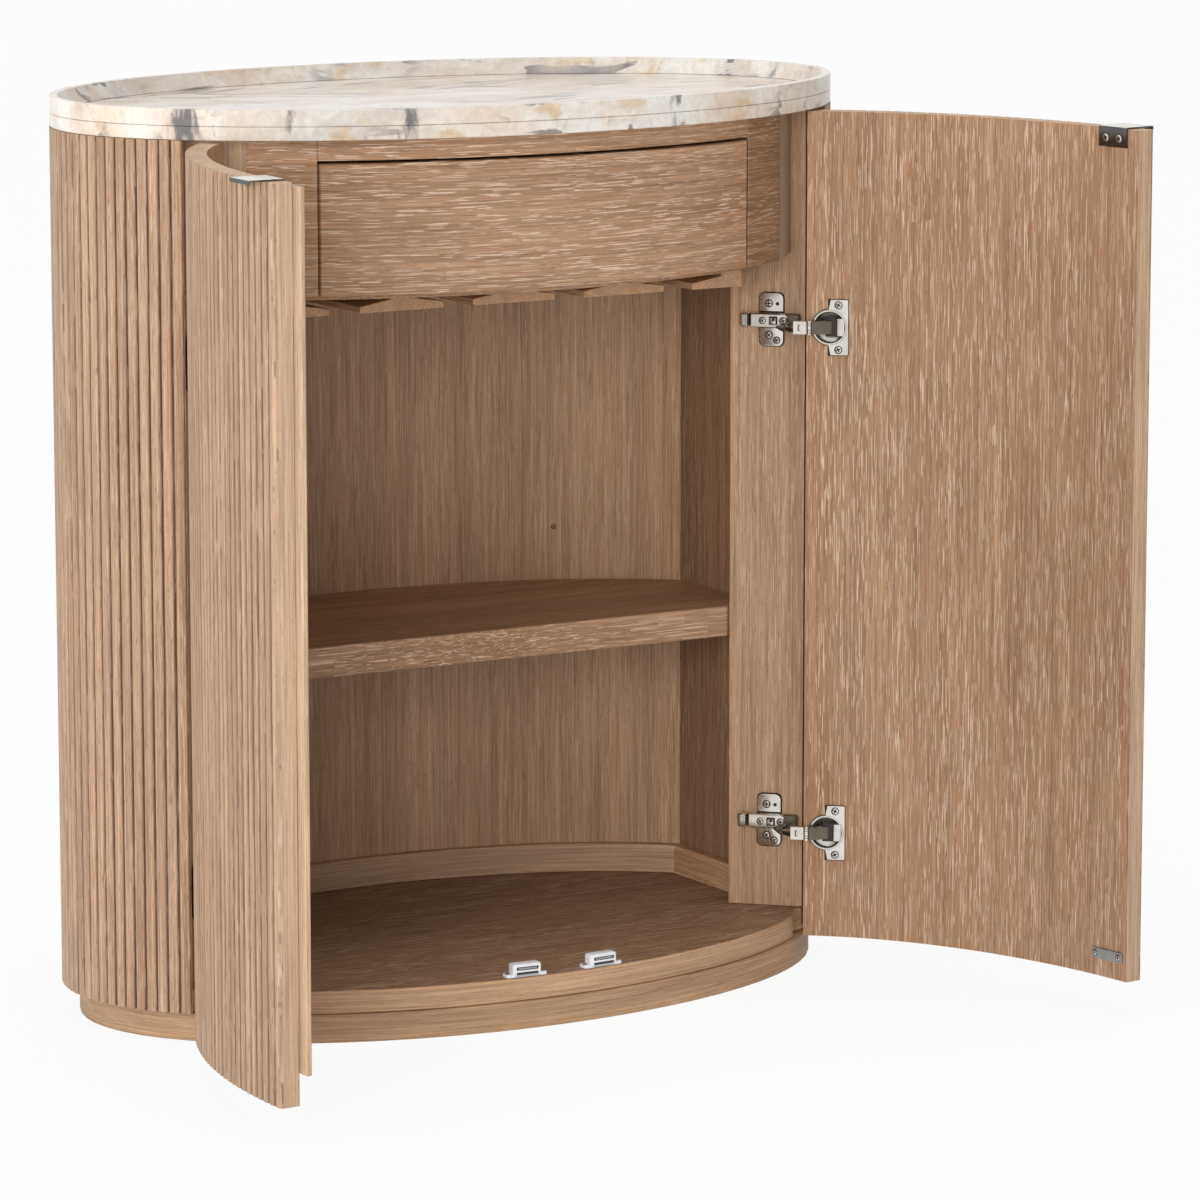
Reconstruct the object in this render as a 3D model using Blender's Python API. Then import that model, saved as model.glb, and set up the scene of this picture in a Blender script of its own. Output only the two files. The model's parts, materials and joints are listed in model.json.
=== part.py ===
"""Oval bar cabinet with two reeded curved doors, a stone tray top, a drawer, stem-glass rails and a shelf.

Metres, +Z up, front towards -Y. The origin is the oval's centre on the floor. The doors rest open.
"""

import math

import bmesh
import bpy
from mathutils import Matrix, Vector

MM = 0.001

# Overall oval
HALF_WIDTH = 419 * MM
HALF_DEPTH = 255 * MM
HEIGHT = 907 * MM
SEAT = 0.3 * MM
OVAL_STEPS = 96

# Stone top
SLAB_THICK = 13.4 * MM
LIP_HEIGHT = 15.8 * MM
LIP_TOP_WIDTH = 8 * MM
LIP_FOOT_WIDTH = 15 * MM

# Reeded wall
REEDS = 176
DOOR_REEDS = 32
REED_DEPTH = 2.0 * MM
WALL = 20 * MM
WALL_FOOT = 30.9 * MM
JOINT_LEAN = 34.0

# Plinth and floor
PLINTH_INSET = 17.2 * MM
PLINTH_HEIGHT = 27.4 * MM
PLINTH_WALL = 22 * MM
PLINTH_BRACE = 60 * MM
FLOOR_INSET = 21.5 * MM
FLOOR_THICK = 23.1 * MM

# Lining
BACK_THICK = 15.6 * MM
SIDE_FROM_END = 84 * MM
SIDE_X = HALF_WIDTH - SIDE_FROM_END
SIDE_THICK = 15 * MM
PANEL_SETBACK = 13.5 * MM
PANEL_INNER = 99.8 * MM
PANEL_THICK = 20 * MM
PANEL_EDGE_GAP = 1.6 * MM
LINING_GAP = 0.4 * MM
KICK_HEIGHT = 30 * MM
KICK_THICK = 10.7 * MM

# Face frame, drawer and deck
FRAME_INSET = 29 * MM
FRAME_THICK = 18 * MM
STILE_INNER_FROM_END = 178.5 * MM
STILE_INNER = HALF_WIDTH - STILE_INNER_FROM_END
STILE_FROM_END = 119 * MM
STILE_OUTER = HALF_WIDTH - STILE_FROM_END
STILE_ROUND = 4 * MM
STILE_RETURN = 12 * MM
RAIL_HEIGHT = 21.6 * MM
DRAWER_GAP = 2.5 * MM
DRAWER_TOP_GAP = 3 * MM
DRAWER_DROP = 150.8 * MM
DRAWER_SIDE_GAP = 18.5 * MM
DRAWER_SIDE_OUTER = STILE_INNER - DRAWER_SIDE_GAP
DRAWER_SIDE_THICK = 12 * MM
DRAWER_FROM_BACK = 130 * MM
DRAWER_BACK_Y = HALF_DEPTH - DRAWER_FROM_BACK
DRAWER_SIDE_HEIGHT = 96 * MM
DRAWER_BOTTOM_RISE = 5.2 * MM
DRAWER_BOTTOM_THICK = 6 * MM
DRAWER_BACK_DROP = 8 * MM
DECK_DROP = 156.2 * MM
DECK_THICK = 12 * MM
RUNNER_HEIGHT = 8.2 * MM
RUNNER_LIP = 10 * MM
RUNNER_WALL = 5.2 * MM
RUNNER_INSIDE = 4 * MM
RUNNER_CLEAR = 0.8 * MM
RUNNER_SETBACK = 6 * MM
SUB_TOP_THICK = 17.2 * MM
CARCASE_FROM_END = 131 * MM
CARCASE_HALF = HALF_WIDTH - CARCASE_FROM_END

# Stem-glass rails
GLASS_FROM_END = 169 * MM
GLASS_PITCH = 0.5 * (HALF_WIDTH - GLASS_FROM_END)
GLASS_SLOT = 33 * MM
GLASS_STEM = 12 * MM
GLASS_TIP = 6.5 * MM
GLASS_ROOT = 12 * MM
GLASS_DROP = 20 * MM
GLASS_FROM_FRONT = 124 * MM
GLASS_FRONT_Y = GLASS_FROM_FRONT - HALF_DEPTH
GLASS_FROM_BACK = 105 * MM
GLASS_BACK_Y = HALF_DEPTH - GLASS_FROM_BACK

# Shelf
SHELF_SHARE = 0.4193
SHELF_THICK = 31 * MM
SHELF_FROM_FRONT = 199 * MM
SHELF_FRONT_Y = SHELF_FROM_FRONT - HALF_DEPTH
PIN_RADIUS = 2.5 * MM
PIN_OUT = 9 * MM
PIN_IN = 8 * MM
PIN_FROM_END = 196 * MM
PIN_BACK_X = HALF_WIDTH - PIN_FROM_END
PIN_SIDE_Y = -5 * MM
SPARE_HOLE_RISE = 89.5 * MM

# Doors
DOOR_FOOT = 33.5 * MM
DOOR_TOP_GAP = 2.5 * MM
DOOR_EDGE_GAP = 2 * MM
MEETING_GAP = 2 * MM
MEETING_ROUND = 4 * MM
AXIS_OUT = 7.95 * MM
AXIS_ALONG = 9.6 * MM
SWING_CLEAR = 1.4 * MM
RIGHT_OPEN = 96.0
LEFT_OPEN = 88.0
ASTRAGAL_THICK = 5.5 * MM
ASTRAGAL_ON = 15 * MM
ASTRAGAL_OVER = 11.5 * MM
ASTRAGAL_RISE = 30 * MM
ASTRAGAL_TOP_GAP = 3 * MM
PULL_FROM_EDGE = 17.5 * MM
PULL_WIDTH = 38.5 * MM
PULL_FLANGE = 18.2 * MM
PULL_REACH = 14 * MM
PULL_LIP = 2.6 * MM
PULL_SHEET = 1.5 * MM
PULL_LIFT = 0.7 * MM
CATCH_X = 43.6 * MM
CATCH_WIDTH = 31 * MM
CATCH_DEPTH = 12.5 * MM
CATCH_HEIGHT = 13 * MM
CATCH_EARS = 45 * MM
CATCH_EAR_THICK = 3 * MM
CATCH_CLEAR = 0.8 * MM
CATCH_CHAMFER = 2 * MM
STRIKE_X = 28 * MM
STRIKE_WIDTH = 43.5 * MM
STRIKE_HEIGHT = 11 * MM
STRIKE_THICK = 1.5 * MM
STRIKE_LIFT = 0.85 * MM

# Concealed hinges, in each hinge panel's own frame: rise off the panel, way from the joint line
HINGE_RISE = 141.5 * MM
HINGE_DROP = 218.7 * MM
PLATE_WAY = -56.5 * MM
PLATE_WIDTH = 26 * MM
PLATE_LENGTH = 55.5 * MM
PLATE_THICK = 4.2 * MM
ARM_WIDTH = 15 * MM
ARM_HEIGHT = 9 * MM
ARM_BACK = -75.5 * MM
NOSE_RISE = 42 * MM
NOSE_WAY = -32.4 * MM
NOSE_RADIUS = 4.6 * MM
NOSE_HALF = 4 * MM
LINK_PIN = 2.2 * MM
LINK_BORE = 2.28 * MM
LINK_HALF = 7 * MM
LINK_THICK = 4.6 * MM
LINK_OVER = 6.5 * MM
LINK_SIDE_GAP = 0.4 * MM
LEVER_LENGTH = 12.5 * MM
LEVER_GAP = 0.6 * MM
CUP_FROM_EDGE = 22.5 * MM
CUP_RADIUS = 17.4 * MM
CUP_FOOT_RADIUS = 13 * MM
CUP_DEPTH = 12 * MM
CUP_WALL = 1.6 * MM
CUP_RIM = 18.6 * MM
CUP_SHEET = 1.2 * MM
CUP_FLANGE_NEAR = 1.5 * MM
CUP_FLANGE_FAR = 19.5 * MM
CUP_FLANGE_LENGTH = 57 * MM
CUP_CLEAR = 0.4 * MM
CUP_LIFT = 1.0 * MM

# Heights and insets that follow
SLAB_FOOT = HEIGHT - LIP_HEIGHT - SLAB_THICK - SEAT
WALL_TOP = SLAB_FOOT - SEAT
FLOOR_FOOT = PLINTH_HEIGHT + SEAT
FLOOR_TOP = FLOOR_FOOT + FLOOR_THICK
LINING_FOOT = FLOOR_TOP + SEAT
DOOR_TOP = SLAB_FOOT - DOOR_TOP_GAP
LINING_INSET = WALL + LINING_GAP
BACK_FACE = LINING_INSET + BACK_THICK
FRAME_BACK = FRAME_INSET + FRAME_THICK
DRAWER_HALF = STILE_INNER - DRAWER_GAP
RAIL_FOOT = WALL_TOP - RAIL_HEIGHT
DRAWER_TOP = RAIL_FOOT - DRAWER_TOP_GAP
DRAWER_FOOT = WALL_TOP - DRAWER_DROP
DECK_FOOT = WALL_TOP - DECK_DROP
DECK_TOP = DECK_FOOT + DECK_THICK
DRAWER_SIDE_FOOT = DECK_TOP + RUNNER_HEIGHT + 2 * SEAT
SHELF_FOOT = LINING_FOOT + SHELF_SHARE * (DECK_FOOT - LINING_FOOT)
PIN_Z = SHELF_FOOT - SEAT - PIN_RADIUS
GLASS_FLANGE = 0.5 * (GLASS_PITCH - GLASS_SLOT)
HINGE_HEIGHTS = {"lower": HINGE_RISE, "upper": WALL_TOP - HINGE_DROP}


def clear_scene():
    for obj in list(bpy.data.objects):
        bpy.data.objects.remove(obj, do_unlink=True)


def material(name, colour, roughness, metallic=0.0):
    made = bpy.data.materials.new(name)
    made.use_nodes = True
    shader = made.node_tree.nodes["Principled BSDF"]
    shader.inputs["Base Color"].default_value = (*colour, 1.0)
    shader.inputs["Roughness"].default_value = roughness
    shader.inputs["Metallic"].default_value = metallic
    made.diffuse_color = (*colour, 1.0)
    return made


# The oval: angle -90 degrees is the front centre, 0 is +X
def normal(angle):
    way = Vector((math.cos(angle) / HALF_WIDTH, math.sin(angle) / HALF_DEPTH))
    return way.normalized()


def oval(angle, inset):
    point = Vector((HALF_WIDTH * math.cos(angle), HALF_DEPTH * math.sin(angle)))
    return point - inset * normal(angle)


def tangent(angle):
    way = normal(angle)
    return Vector((-way.y, way.x))


def arc(start, end, inset, steps):
    return [oval(start + (end - start) * i / steps, inset) for i in range(steps + 1)]


def solve(function, low, high):
    """The root of a function that changes sign once between low and high."""
    rising = function(high) > function(low)
    for _ in range(60):
        middle = 0.5 * (low + high)
        if (function(middle) < 0) == rising:
            low = middle
        else:
            high = middle
    return 0.5 * (low + high)


def front_angle(x, inset):
    return solve(lambda a: oval(a, inset).x - x, -math.pi, 0)


def back_angle(x, inset):
    return solve(lambda a: oval(a, inset).x - x, 0, math.pi)


def arc_table(steps=7200):
    lengths = [0.0]
    last = oval(-0.5 * math.pi, 0)
    for i in range(1, steps + 1):
        point = oval(2 * math.pi * i / steps - 0.5 * math.pi, 0)
        lengths.append(lengths[-1] + (point - last).length)
        last = point
    return lengths


ARC_LENGTHS = arc_table()
REED_PITCH = ARC_LENGTHS[-1] / REEDS


def angle_at(length):
    """The oval's angle at this arc length from the front centre, towards +X."""
    low = 0
    high = len(ARC_LENGTHS) - 1
    while high - low > 1:
        middle = (low + high) // 2
        if ARC_LENGTHS[middle] <= length:
            low = middle
        else:
            high = middle
    share = (length - ARC_LENGTHS[low]) / (ARC_LENGTHS[high] - ARC_LENGTHS[low])
    return 2 * math.pi * (low + share) / (len(ARC_LENGTHS) - 1) - 0.5 * math.pi


def reeded(first, last):
    """The outer face over these reeds: a groove, a shoulder, a crown and a shoulder each."""
    profile = ((0.0, REED_DEPTH), (0.13, 0.3 * REED_DEPTH), (0.5, 0.0), (0.87, 0.3 * REED_DEPTH))
    points = []
    for reed in range(first, last):
        for share, depth in profile:
            points.append(oval(angle_at((reed + share) * REED_PITCH), depth))
    points.append(oval(angle_at(last * REED_PITCH), REED_DEPTH))
    return points


# The joint between the right door and the wall; the left one mirrors it
JOINT_ANGLE = angle_at(DOOR_REEDS * REED_PITCH)
JOINT = oval(JOINT_ANGLE, 0)
JOINT_NORMAL = normal(JOINT_ANGLE)
JOINT_ALONG = -tangent(JOINT_ANGLE)
LEAN = math.radians(JOINT_LEAN)
JOINT_INWARD = -math.sin(LEAN) * JOINT_ALONG - math.cos(LEAN) * JOINT_NORMAL
AXIS = JOINT + AXIS_OUT * JOINT_NORMAL + AXIS_ALONG * JOINT_ALONG


def cross(a, b):
    return a.x * b.y - a.y * b.x


def on_joint(start, inset):
    """Where the leaning joint line from this point reaches the inset curve, as an angle."""
    return solve(
        lambda a: cross(oval(a, inset) - start, JOINT_INWARD), JOINT_ANGLE - 0.1, JOINT_ANGLE + 0.3
    )


DOOR_OUTER = JOINT + DOOR_EDGE_GAP * JOINT_ALONG - REED_DEPTH * JOINT_NORMAL
DOOR_INNER_ANGLE = on_joint(DOOR_OUTER, WALL)
DOOR_INNER = oval(DOOR_INNER_ANGLE, WALL)
SWING_RADIUS = (DOOR_INNER - AXIS).length + SWING_CLEAR
CUP_ANGLE = solve(
    lambda a: (oval(a, WALL) - DOOR_INNER).length - CUP_FROM_EDGE,
    DOOR_INNER_ANGLE,
    DOOR_INNER_ANGLE - 4 * CUP_FROM_EDGE / HALF_WIDTH,
)


def panel_xy(rise, way):
    """A point of the right hinge panel's frame: rise off its face, way out from the joint line."""
    return JOINT + (rise - PANEL_SETBACK) * JOINT_ALONG + way * JOINT_NORMAL


def panel_edge(rise):
    """Where the right hinge panel stops, short of the wall's inner face."""
    inset = LINING_INSET + PANEL_EDGE_GAP
    start = panel_xy(rise, 0)
    angle = solve(lambda a: (oval(a, inset) - start).dot(JOINT_ALONG), JOINT_ANGLE - 0.3, JOINT_ANGLE + 0.3)
    return oval(angle, inset)


def turned(point, degrees, centre):
    return Matrix.Rotation(math.radians(degrees), 2) @ (point - centre) + centre


def mirrored(points, side):
    return [Vector((side * p.x, p.y)) for p in points]


def both(points):
    """A right-hand outline, front to back, closed by its mirror."""
    return list(points) + mirrored(reversed(points), -1)


# Building solids
def build(name, rings, look, origin=None, parent=None):
    """A closed solid through rings of points, with a face at each end."""
    base = Vector(origin) if origin is not None else Vector((0, 0, 0))
    shape = bmesh.new()
    loops = [[shape.verts.new(Vector(p) - base) for p in ring] for ring in rings]
    shape.faces.new(loops[0])
    shape.faces.new(loops[-1])
    for low, high in zip(loops, loops[1:]):
        for i in range(len(low)):
            j = (i + 1) % len(low)
            shape.faces.new((low[i], low[j], high[j], high[i]))
    bmesh.ops.recalc_face_normals(shape, faces=shape.faces)
    mesh = bpy.data.meshes.new(name)
    shape.to_mesh(mesh)
    shape.free()
    mesh.materials.append(look)
    for face in mesh.polygons:
        face.use_smooth = True
    mesh.set_sharp_from_angle(angle=math.radians(35))
    obj = bpy.data.objects.new(name, mesh)
    bpy.context.scene.collection.objects.link(obj)
    if parent is None:
        obj.location = base
    else:
        obj.parent = parent
    return obj


def prism(name, outline, foot, top, look, origin=None, parent=None):
    rings = [[(p[0], p[1], z) for p in outline] for z in (foot, top)]
    return build(name, rings, look, origin, parent)


def sweep(name, outline, frame, start, end, look, origin=None, parent=None):
    """An outline in a frame's first two directions, run along its third."""
    centre, first, second, third = frame
    rings = [[centre + p[0] * first + p[1] * second + d * third for p in outline] for d in (start, end)]
    return build(name, rings, look, origin, parent)


def box(name, x0, x1, y0, y1, z0, z1, look):
    return prism(name, ((x0, y0), (x1, y0), (x1, y1), (x0, y1)), z0, z1, look)


def circle(radius, steps, centre=(0, 0)):
    turns = [2 * math.pi * i / steps for i in range(steps)]
    return [(centre[0] + radius * math.cos(t), centre[1] + radius * math.sin(t)) for t in turns]


def rounded(width, height, radius):
    """A rectangle about the origin with its corners cut and softened."""
    points = []
    for sx, sy, turn in ((1, 1, 0), (-1, 1, 90), (-1, -1, 180), (1, -1, 270)):
        for step in (0, 30, 60, 90):
            a = math.radians(turn + step)
            x = sx * (0.5 * width - radius) + radius * math.cos(a)
            y = sy * (0.5 * height - radius) + radius * math.sin(a)
            points.append((x, y))
    return points


def combine(obj, other, operation):
    other.hide_render = True
    other.display_type = "WIRE"
    step = obj.modifiers.new(operation.title() + "_" + other.name, "BOOLEAN")
    step.solver = "EXACT"
    step.operation = operation
    step.object = other


def pivot(name, x, y, degrees):
    empty = bpy.data.objects.new(name, None)
    empty.location = (x, y, 0)
    empty.rotation_euler.z = math.radians(degrees)
    bpy.context.scene.collection.objects.link(empty)
    return empty


clear_scene()
OAK = material("limed_oak", (0.42, 0.25, 0.14), 0.55)
OAK_INSIDE = material("limed_oak_inside", (0.26, 0.16, 0.09), 0.6)
STONE = material("veined_stone", (0.82, 0.76, 0.70), 0.25)
NICKEL = material("nickel", (0.62, 0.60, 0.57), 0.25, 1.0)
STEEL = material("grey_steel", (0.45, 0.45, 0.45), 0.4, 1.0)
POLISHED = material("polished_metal", (0.70, 0.68, 0.65), 0.08, 1.0)
WHITE = material("white_plastic", (0.85, 0.86, 0.88), 0.4)


def ring_piece(name, x, inset, thick, foot, top, look, back=False, steps=24):
    """A curved board between -x and +x, at the front or the back of the oval."""
    find = back_angle if back else front_angle
    outer = arc(find(-x, inset), find(x, inset), inset, steps)
    inner = arc(find(x, inset + thick), find(-x, inset + thick), inset + thick, steps)
    return prism(name, outer + inner, foot, top, look)


# Stone top
def stone_top():
    edge = arc(0, 2 * math.pi, 0, OVAL_STEPS)[:-1]
    prism("stone_slab", edge, SLAB_FOOT, SLAB_FOOT + SLAB_THICK, STONE)
    lip_foot = HEIGHT - LIP_HEIGHT
    lip = prism("stone_lip", edge, lip_foot, HEIGHT, STONE)
    way = 0.5 * LIP_HEIGHT
    slope = (LIP_FOOT_WIDTH - LIP_TOP_WIDTH) / LIP_HEIGHT
    rings = []
    for z in (lip_foot - way, HEIGHT + way):
        inset = LIP_TOP_WIDTH + slope * (HEIGHT - z)
        rings.append([(*p, z) for p in arc(0, 2 * math.pi, inset, OVAL_STEPS)[:-1]])
    combine(lip, build("lip_cutter", rings, STONE), "DIFFERENCE")


# Wall, plinth and floor
def carcase():
    inner_angle = on_joint(JOINT - REED_DEPTH * JOINT_NORMAL, WALL)
    inner = arc(math.pi - inner_angle, inner_angle, WALL, OVAL_STEPS)
    prism("outer_shell", reeded(DOOR_REEDS, REEDS - DOOR_REEDS) + inner, WALL_FOOT, WALL_TOP, OAK)

    plinth = prism("plinth", arc(0, 2 * math.pi, PLINTH_INSET, 64)[:-1], 0, PLINTH_HEIGHT, OAK)
    hollow = PLINTH_INSET + PLINTH_WALL
    low = front_angle(0.5 * PLINTH_BRACE, hollow)
    high = back_angle(0.5 * PLINTH_BRACE, hollow)
    half = arc(low, high, hollow, 32)
    for side, word in ((1, "right"), (-1, "left")):
        hole = prism(f"plinth_{word}_cutter", mirrored(half, side), -WALL, 2 * PLINTH_HEIGHT, OAK)
        combine(plinth, hole, "DIFFERENCE")

    edge = arc(0, 2 * math.pi, FLOOR_INSET, OVAL_STEPS)[:-1]
    floor = prism("floor_panel", edge, FLOOR_FOOT, FLOOR_TOP, OAK)
    for side, word in ((1, "right"), (-1, "left")):
        sweep_round = circle(SWING_RADIUS, 48, (side * AXIS.x, AXIS.y))
        relief = prism(f"floor_{word}_cutter", sweep_round, 0, 2 * FLOOR_TOP, OAK)
        combine(floor, relief, "DIFFERENCE")


# Lining
PANEL_BACK = panel_xy(-PANEL_THICK - SEAT, -PANEL_INNER)


def behind_panel(x):
    """A point of the line just behind the right hinge panel."""
    return PANEL_BACK + (x - PANEL_BACK.x) / JOINT_NORMAL.x * JOINT_NORMAL


def lining():
    back = ring_piece(
        "back_panel", SIDE_X - SEAT, LINING_INSET, BACK_THICK, LINING_FOOT, WALL_TOP, OAK_INSIDE, back=True
    )
    for x in (-PIN_BACK_X, PIN_BACK_X):
        angle = back_angle(x, BACK_FACE)
        face = oval(angle, BACK_FACE)
        out = -normal(angle)
        for step, z in enumerate((PIN_Z, PIN_Z + SPARE_HOLE_RISE)):
            spot = Vector((face.x, face.y, z))
            pin_hole(back, f"back_pin_hole_{step}_{'left' if x < 0 else 'right'}", spot, out)
    ring_piece(
        "back_kick", SIDE_X - 2 * SEAT, BACK_FACE + SEAT, KICK_THICK, LINING_FOOT, LINING_FOOT + KICK_HEIGHT,
        OAK_INSIDE, back=True,
    )
    far = SIDE_X + SIDE_THICK
    wall_face = LINING_INSET
    near_end = oval(back_angle(SIDE_X, wall_face), wall_face) - Vector((0, SEAT))
    far_end = oval(back_angle(far, wall_face), wall_face) - Vector((0, SEAT))
    kick_face = BACK_FACE + 2 * SEAT + KICK_THICK
    kick_far = SIDE_X - SEAT
    kick_near = kick_far - KICK_THICK
    for side, word in ((1, "right"), (-1, "left")):
        board = [behind_panel(SIDE_X), behind_panel(far), far_end, near_end]
        panel = prism(f"{word}_inner_side", mirrored(board, side), LINING_FOOT, WALL_TOP, OAK_INSIDE)
        spot = Vector((side * SIDE_X, PIN_SIDE_Y, PIN_Z))
        pin_hole(panel, f"{word}_side_pin_hole", spot, Vector((-side, 0)))
        ends = [oval(back_angle(x, kick_face), kick_face) for x in (kick_far, kick_near)]
        kick = [behind_panel(kick_near), behind_panel(kick_far), *ends]
        prism(f"{word}_kick", mirrored(kick, side), LINING_FOOT, LINING_FOOT + KICK_HEIGHT, OAK_INSIDE)
        plan = [
            panel_xy(0, -PANEL_INNER),
            panel_edge(0),
            panel_edge(-PANEL_THICK),
            panel_xy(-PANEL_THICK, -PANEL_INNER),
        ]
        prism(f"{word}_hinge_panel", mirrored(plan, side), LINING_FOOT, WALL_TOP, OAK_INSIDE)


def upright(spot, out):
    """A frame at a wall: level, up, then out of the wall."""
    third = Vector((out.x, out.y, 0))
    second = Vector((0, 0, 1))
    return spot, second.cross(third), second, third


def pin_hole(panel, name, spot, out):
    hole = sweep(name, circle(PIN_RADIUS + SEAT, 12), upright(spot, out), -PIN_IN - SEAT, PIN_OUT, OAK_INSIDE)
    combine(panel, hole, "DIFFERENCE")


# Boards that fill the lining
BOARD_GAP = 2 * SEAT
BOARD_LINE = panel_xy(0, -PANEL_INNER - BOARD_GAP)


def beside_panel(x):
    """A point of the line just past the right hinge panel's inner edge."""
    return BOARD_LINE + (x - BOARD_LINE.x) / JOINT_ALONG.x * JOINT_ALONG


def filled(front):
    """A right-hand front edge, carried along the lining to the back, and its mirror."""
    side_x = SIDE_X - BOARD_GAP
    inset = BACK_FACE + BOARD_GAP
    back = arc(back_angle(side_x, inset), 0.5 * math.pi, inset, 16)[:-1]
    return both([*front, beside_panel(side_x), *back])


def boards():
    inset = FRAME_BACK + BOARD_GAP
    front = arc(front_angle(0.02 * CARCASE_HALF, inset), front_angle(CARCASE_HALF, inset), inset, 16)
    wide = filled([*front, beside_panel(CARCASE_HALF)])
    prism("drawer_deck", wide, DECK_FOOT, DECK_TOP, OAK_INSIDE)
    prism("sub_top", wide, WALL_TOP - SUB_TOP_THICK, WALL_TOP, OAK_INSIDE)
    turn = BOARD_LINE + (SHELF_FRONT_Y - BOARD_LINE.y) / JOINT_ALONG.y * JOINT_ALONG
    shelf = filled([Vector((turn.x, SHELF_FRONT_Y))])
    prism("shelf", shelf, SHELF_FOOT, SHELF_FOOT + SHELF_THICK, OAK_INSIDE)
    spots = []
    for x in (-PIN_BACK_X, PIN_BACK_X):
        angle = back_angle(x, BACK_FACE)
        spots.append((oval(angle, BACK_FACE), -normal(angle)))
    for side in (-1, 1):
        spots.append((Vector((side * SIDE_X, PIN_SIDE_Y)), Vector((-side, 0))))
    for number, (place, out) in enumerate(spots, 1):
        frame = upright(Vector((place.x, place.y, PIN_Z)), out)
        sweep(f"shelf_pin_{number}", circle(PIN_RADIUS, 12), frame, -PIN_IN, PIN_OUT, NICKEL)


# Face frame
def face_frame():
    """The rail over the drawer, and a stile each side whose return runs back to the hinge panel."""
    ring_piece("top_rail", STILE_INNER - SEAT, FRAME_INSET, FRAME_THICK, RAIL_FOOT, WALL_TOP, OAK)
    soft = FRAME_INSET + 0.25 * STILE_ROUND
    cheek = FRAME_INSET + STILE_ROUND
    end = oval(front_angle(STILE_OUTER, cheek), cheek)
    nose = [oval(front_angle(STILE_OUTER - 0.3 * STILE_ROUND, soft), soft), end]
    way = (end - JOINT).dot(JOINT_NORMAL)
    inner_way = way - STILE_RETURN
    first = front_angle(STILE_INNER, FRAME_INSET)
    last = front_angle(STILE_INNER, FRAME_BACK)
    behind = solve(
        lambda a: (oval(a, FRAME_BACK) - JOINT).dot(JOINT_NORMAL) - inner_way, last, JOINT_ANGLE
    )
    outer = arc(first, front_angle(STILE_OUTER - STILE_ROUND, FRAME_INSET), FRAME_INSET, 6)
    leg = [panel_xy(2 * SEAT, way), panel_xy(2 * SEAT, inner_way)]
    plan = [*outer, *nose, *leg, *arc(behind, last, FRAME_BACK, 6)]
    for side, word in ((1, "right"), (-1, "left")):
        prism(f"{word}_stile", mirrored(plan, side), DRAWER_FOOT, WALL_TOP, OAK)


# Drawer, runners and glass rails
def drawer():
    ring_piece("drawer_front", DRAWER_HALF, FRAME_INSET, FRAME_THICK, DRAWER_FOOT, DRAWER_TOP, OAK)
    inner_x = DRAWER_SIDE_OUTER - DRAWER_SIDE_THICK
    rear = FRAME_BACK + SEAT
    foot = DRAWER_SIDE_FOOT
    top = foot + DRAWER_SIDE_HEIGHT
    for side, word in ((1, "right"), (-1, "left")):
        plan = [
            oval(front_angle(inner_x, rear), rear),
            oval(front_angle(DRAWER_SIDE_OUTER, rear), rear),
            Vector((DRAWER_SIDE_OUTER, DRAWER_BACK_Y)),
            Vector((inner_x, DRAWER_BACK_Y)),
        ]
        prism(f"drawer_{word}_side", mirrored(plan, side), foot, top, OAK_INSIDE)
        base = inner_x - RUNNER_INSIDE
        lip = DRAWER_SIDE_OUTER + RUNNER_CLEAR
        strip = (
            (side * base, DECK_TOP + SEAT),
            (side * (lip + RUNNER_WALL), DECK_TOP + SEAT),
            (side * (lip + RUNNER_WALL), DECK_TOP + RUNNER_HEIGHT + RUNNER_LIP),
            (side * lip, DECK_TOP + RUNNER_HEIGHT + RUNNER_LIP),
            (side * lip, DECK_TOP + SEAT + RUNNER_HEIGHT),
            (side * base, DECK_TOP + SEAT + RUNNER_HEIGHT),
        )
        start = oval(front_angle(lip + RUNNER_WALL, rear), rear).y + RUNNER_SETBACK
        sweep(f"{word}_runner", strip, ALONG_Y, start, DRAWER_BACK_Y, OAK_INSIDE)
    wide = inner_x - SEAT
    back_face = DRAWER_BACK_Y - DRAWER_SIDE_THICK
    box("drawer_back", -wide, wide, back_face, DRAWER_BACK_Y, foot, top - DRAWER_BACK_DROP, OAK_INSIDE)
    front = arc(front_angle(-wide, rear), front_angle(wide, rear), rear, 24)
    board = [*front, Vector((wide, back_face - SEAT)), Vector((-wide, back_face - SEAT))]
    low = foot + DRAWER_BOTTOM_RISE
    prism("drawer_bottom", board, low, low + DRAWER_BOTTOM_THICK, OAK_INSIDE)


ALONG_Y = (Vector((0, 0, 0)), Vector((1, 0, 0)), Vector((0, 0, 1)), Vector((0, 1, 0)))


def glass_rails():
    foot = DECK_FOOT - GLASS_DROP
    top = DECK_FOOT - SEAT
    right = [
        (GLASS_FLANGE, foot),
        (GLASS_FLANGE, foot + GLASS_TIP),
        (GLASS_STEM, foot + GLASS_ROOT),
        (GLASS_STEM, top),
    ]
    whole = right + [(-x, z) for x, z in reversed(right)]
    half = [*right, (-GLASS_STEM, top), (-GLASS_STEM, foot)]
    for number in range(1, 6):
        place = number - 3
        outline = whole
        if abs(place) == 2:
            flip = 1 if place < 0 else -1
            outline = [(flip * x, z) for x, z in half]
        moved = [(x + place * GLASS_PITCH, z) for x, z in outline]
        sweep(f"glass_rail_{number}", moved, ALONG_Y, GLASS_FRONT_Y, GLASS_BACK_Y, OAK)


# Door frames: a point of the inner face, along the door towards the hinge, up, and into the cabinet
def inside_frame(side, angle, z):
    spot = oval(angle, WALL)
    way = tangent(angle)
    inward = -normal(angle)
    return (
        Vector((side * spot.x, spot.y, z)),
        Vector((side * way.x, way.y, 0)),
        Vector((0, 0, 1)),
        Vector((side * inward.x, inward.y, 0)),
    )


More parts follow.
